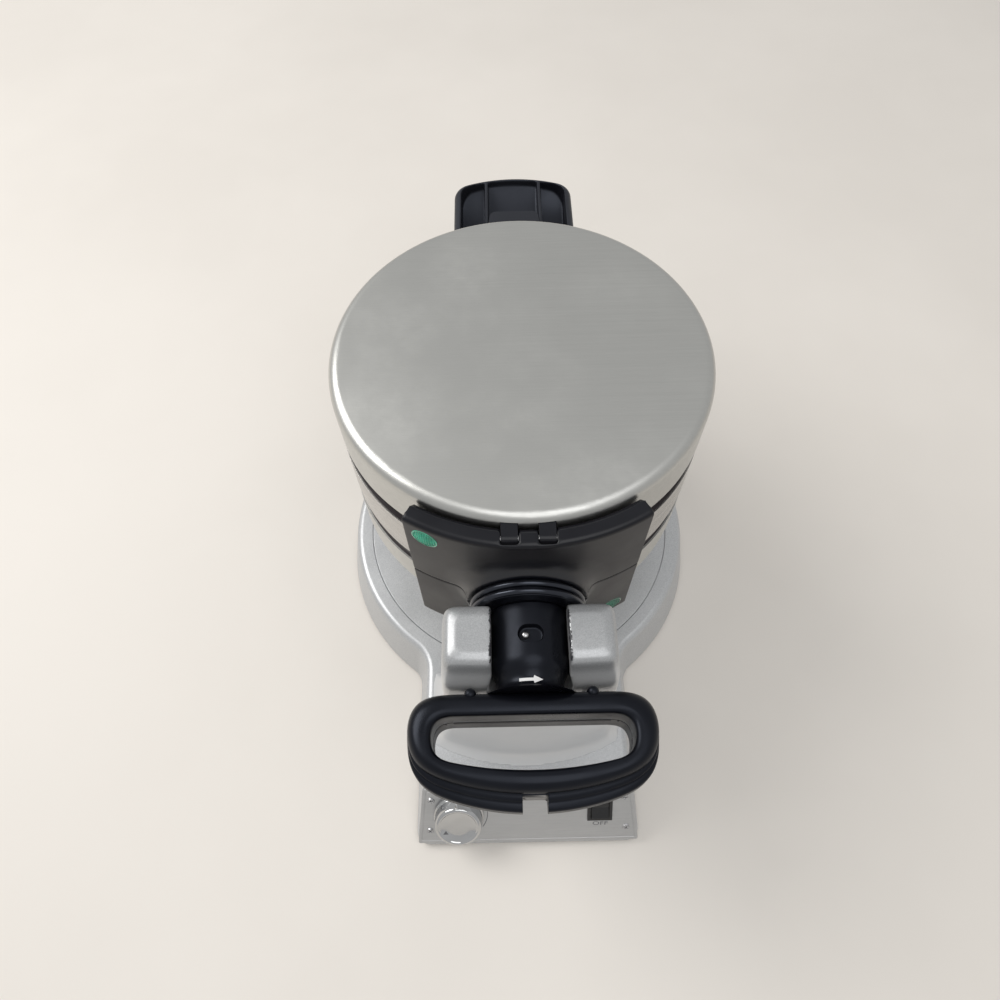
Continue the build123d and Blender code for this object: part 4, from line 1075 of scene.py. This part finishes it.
# Turning head
for node, material, edge in (
    ("neck_collar", collarMoulding, 0.2),
    ("middle_band", bandSteel, 0.15),
    ("middle_frame", ringMoulding, 0.3),
    ("middle_upper_grid", plateCoating, 0.5),
    ("middle_lower_grid", plateCoating, 0.5),
    ("middle_upper_rim", plateCoating, 0.4),
    ("middle_lower_rim", plateCoating, 0.4),
):
    dressed(node, material, "head", edge)
rearHandle = {"nodes": ("rear_handle_upper", "rear_handle_lower"), "voxel": 0.6, "rounds": 5}
for node in rearHandle["nodes"]:
    shape = copied(node)
    tidyMesh(shape)
    moulding(shape, rearHandle["voxel"], rearHandle["rounds"])
    finishPiece(shape, matteMoulding, "head", [node])
for node in ("middle_plate_studs", "upper_hinge_pin", "lower_hinge_pin", "turn_handle_screws",
             "rear_handle_screws", "middle_thermostat"):
    coat(node, steel)
coat("middle_heater", heaterSheath)
coat("upper_indicator_lamp", lampGlass)
coat("lower_indicator_lamp", lampGlass)
print("head dressed")

# Lids
for lid in ("top_lid", "bottom_lid"):
    for part, material, edge in (
        ("cover", brushedLid, 0.25),
        ("ring", ringMoulding, 0.3),
        ("lift_tab", matteMoulding, 0.8),
        ("waffle_grid", plateCoating, 0.5),
        ("plate_rim", plateCoating, 0.4),
        ("hinge_bracket", housingMoulding, 0.3),
    ):
        dressed(lid + "_" + part, material, lid, edge)
    for part, material in (("heater", heaterSheath), ("heat_shield", steel), ("screws", steel)):
        coat(lid + "_" + part, material)
print("lids dressed")


# Floor, light and camera

table = {"reach": 2.6, "finish": {
    "Grain Scale": 260, "Patch Scale": 3, "Colour": (0.75, 0.71, 0.66, 1),
    "Patch Colour": (0.78, 0.74, 0.69, 1), "Roughness Low": 0.5, "Roughness High": 0.6}}


def makeFloor():
    reach = table["reach"]
    corners = [(x, y, 0) for x, y in rectangle(-reach, reach, -reach, reach)]
    shape = makeObject("tableTop", corners, [(0, 1, 2, 3)])
    material, tree, shader, place = startMaterial("tableTop")
    grain = placeGroup(tree, mouldGrain, place, table["finish"])
    finishMaterial(tree, shader, {"Base Color": grain["Colour"], "Roughness": grain["Roughness"]})
    shape.data.materials.append(material)


room = {
    "colour": (0.98, 0.98, 0.975, 1), "strength": 0.55,
    "lamps": {
        "windowLight": {"place": (-1.3, 0.5, 1.5), "target": (0, 0, 0.12), "power": 20, "size": 1.3,
                        "colour": (1, 0.985, 0.96)},
        "ceilingLight": {"place": (0.3, -0.6, 2.1), "target": (0, 0, 0.1), "power": 11, "size": 1.6,
                         "colour": (1, 1, 1)},
    },
}


def addLamp(name, values):
    data = bpy.data.lights.new(name, "AREA")
    data.energy = values["power"]
    data.color = values["colour"]
    data.shape = "DISK"
    data.size = values["size"]
    lamp = linked(name, data)
    lamp.location = values["place"]
    aim = Vector(values["target"]) - Vector(values["place"])
    lamp.rotation_euler = aim.to_track_quat("-Z", "Y").to_euler()


def lightTheRoom():
    world = bpy.data.worlds.new("room")
    world.use_nodes = True
    scene.world = world
    background = world.node_tree.nodes["Background"]
    background.inputs["Color"].default_value = room["colour"]
    background.inputs["Strength"].default_value = room["strength"]
    for name, values in room["lamps"].items():
        addLamp(name, values)


# The photograph's camera, in mm and degrees
view = {
    "place": (-12, -251.3, 545.1), "yaw": -0.31, "pitch": 60.42, "roll": -1.56, "lens": 27.36, "sensor": 36,
}


def placeCamera():
    yaw, pitch, roll = (math.radians(view[name]) for name in ("yaw", "pitch", "roll"))
    forward = Vector((math.sin(yaw) * math.cos(pitch), math.cos(yaw) * math.cos(pitch), -math.sin(pitch)))
    level = Vector((math.cos(yaw), -math.sin(yaw), 0))
    up = level.cross(forward)
    right = level * math.cos(roll) + up * math.sin(roll)
    above = up * math.cos(roll) - level * math.sin(roll)
    turn = Matrix((right, above, -forward)).transposed().to_4x4()
    data = bpy.data.cameras.new("photoView")
    data.lens = view["lens"]
    data.sensor_width = view["sensor"]
    data.clip_start = 10 * mm
    camera = linked("photoView", data)
    camera.matrix_world = Matrix.Translation(Vector(view["place"]) * mm) @ turn
    scene.camera = camera


makeFloor()
lightTheRoom()
placeCamera()
scene.view_settings.view_transform = "Standard"

bpy.context.view_layer.update()
print("scene made")
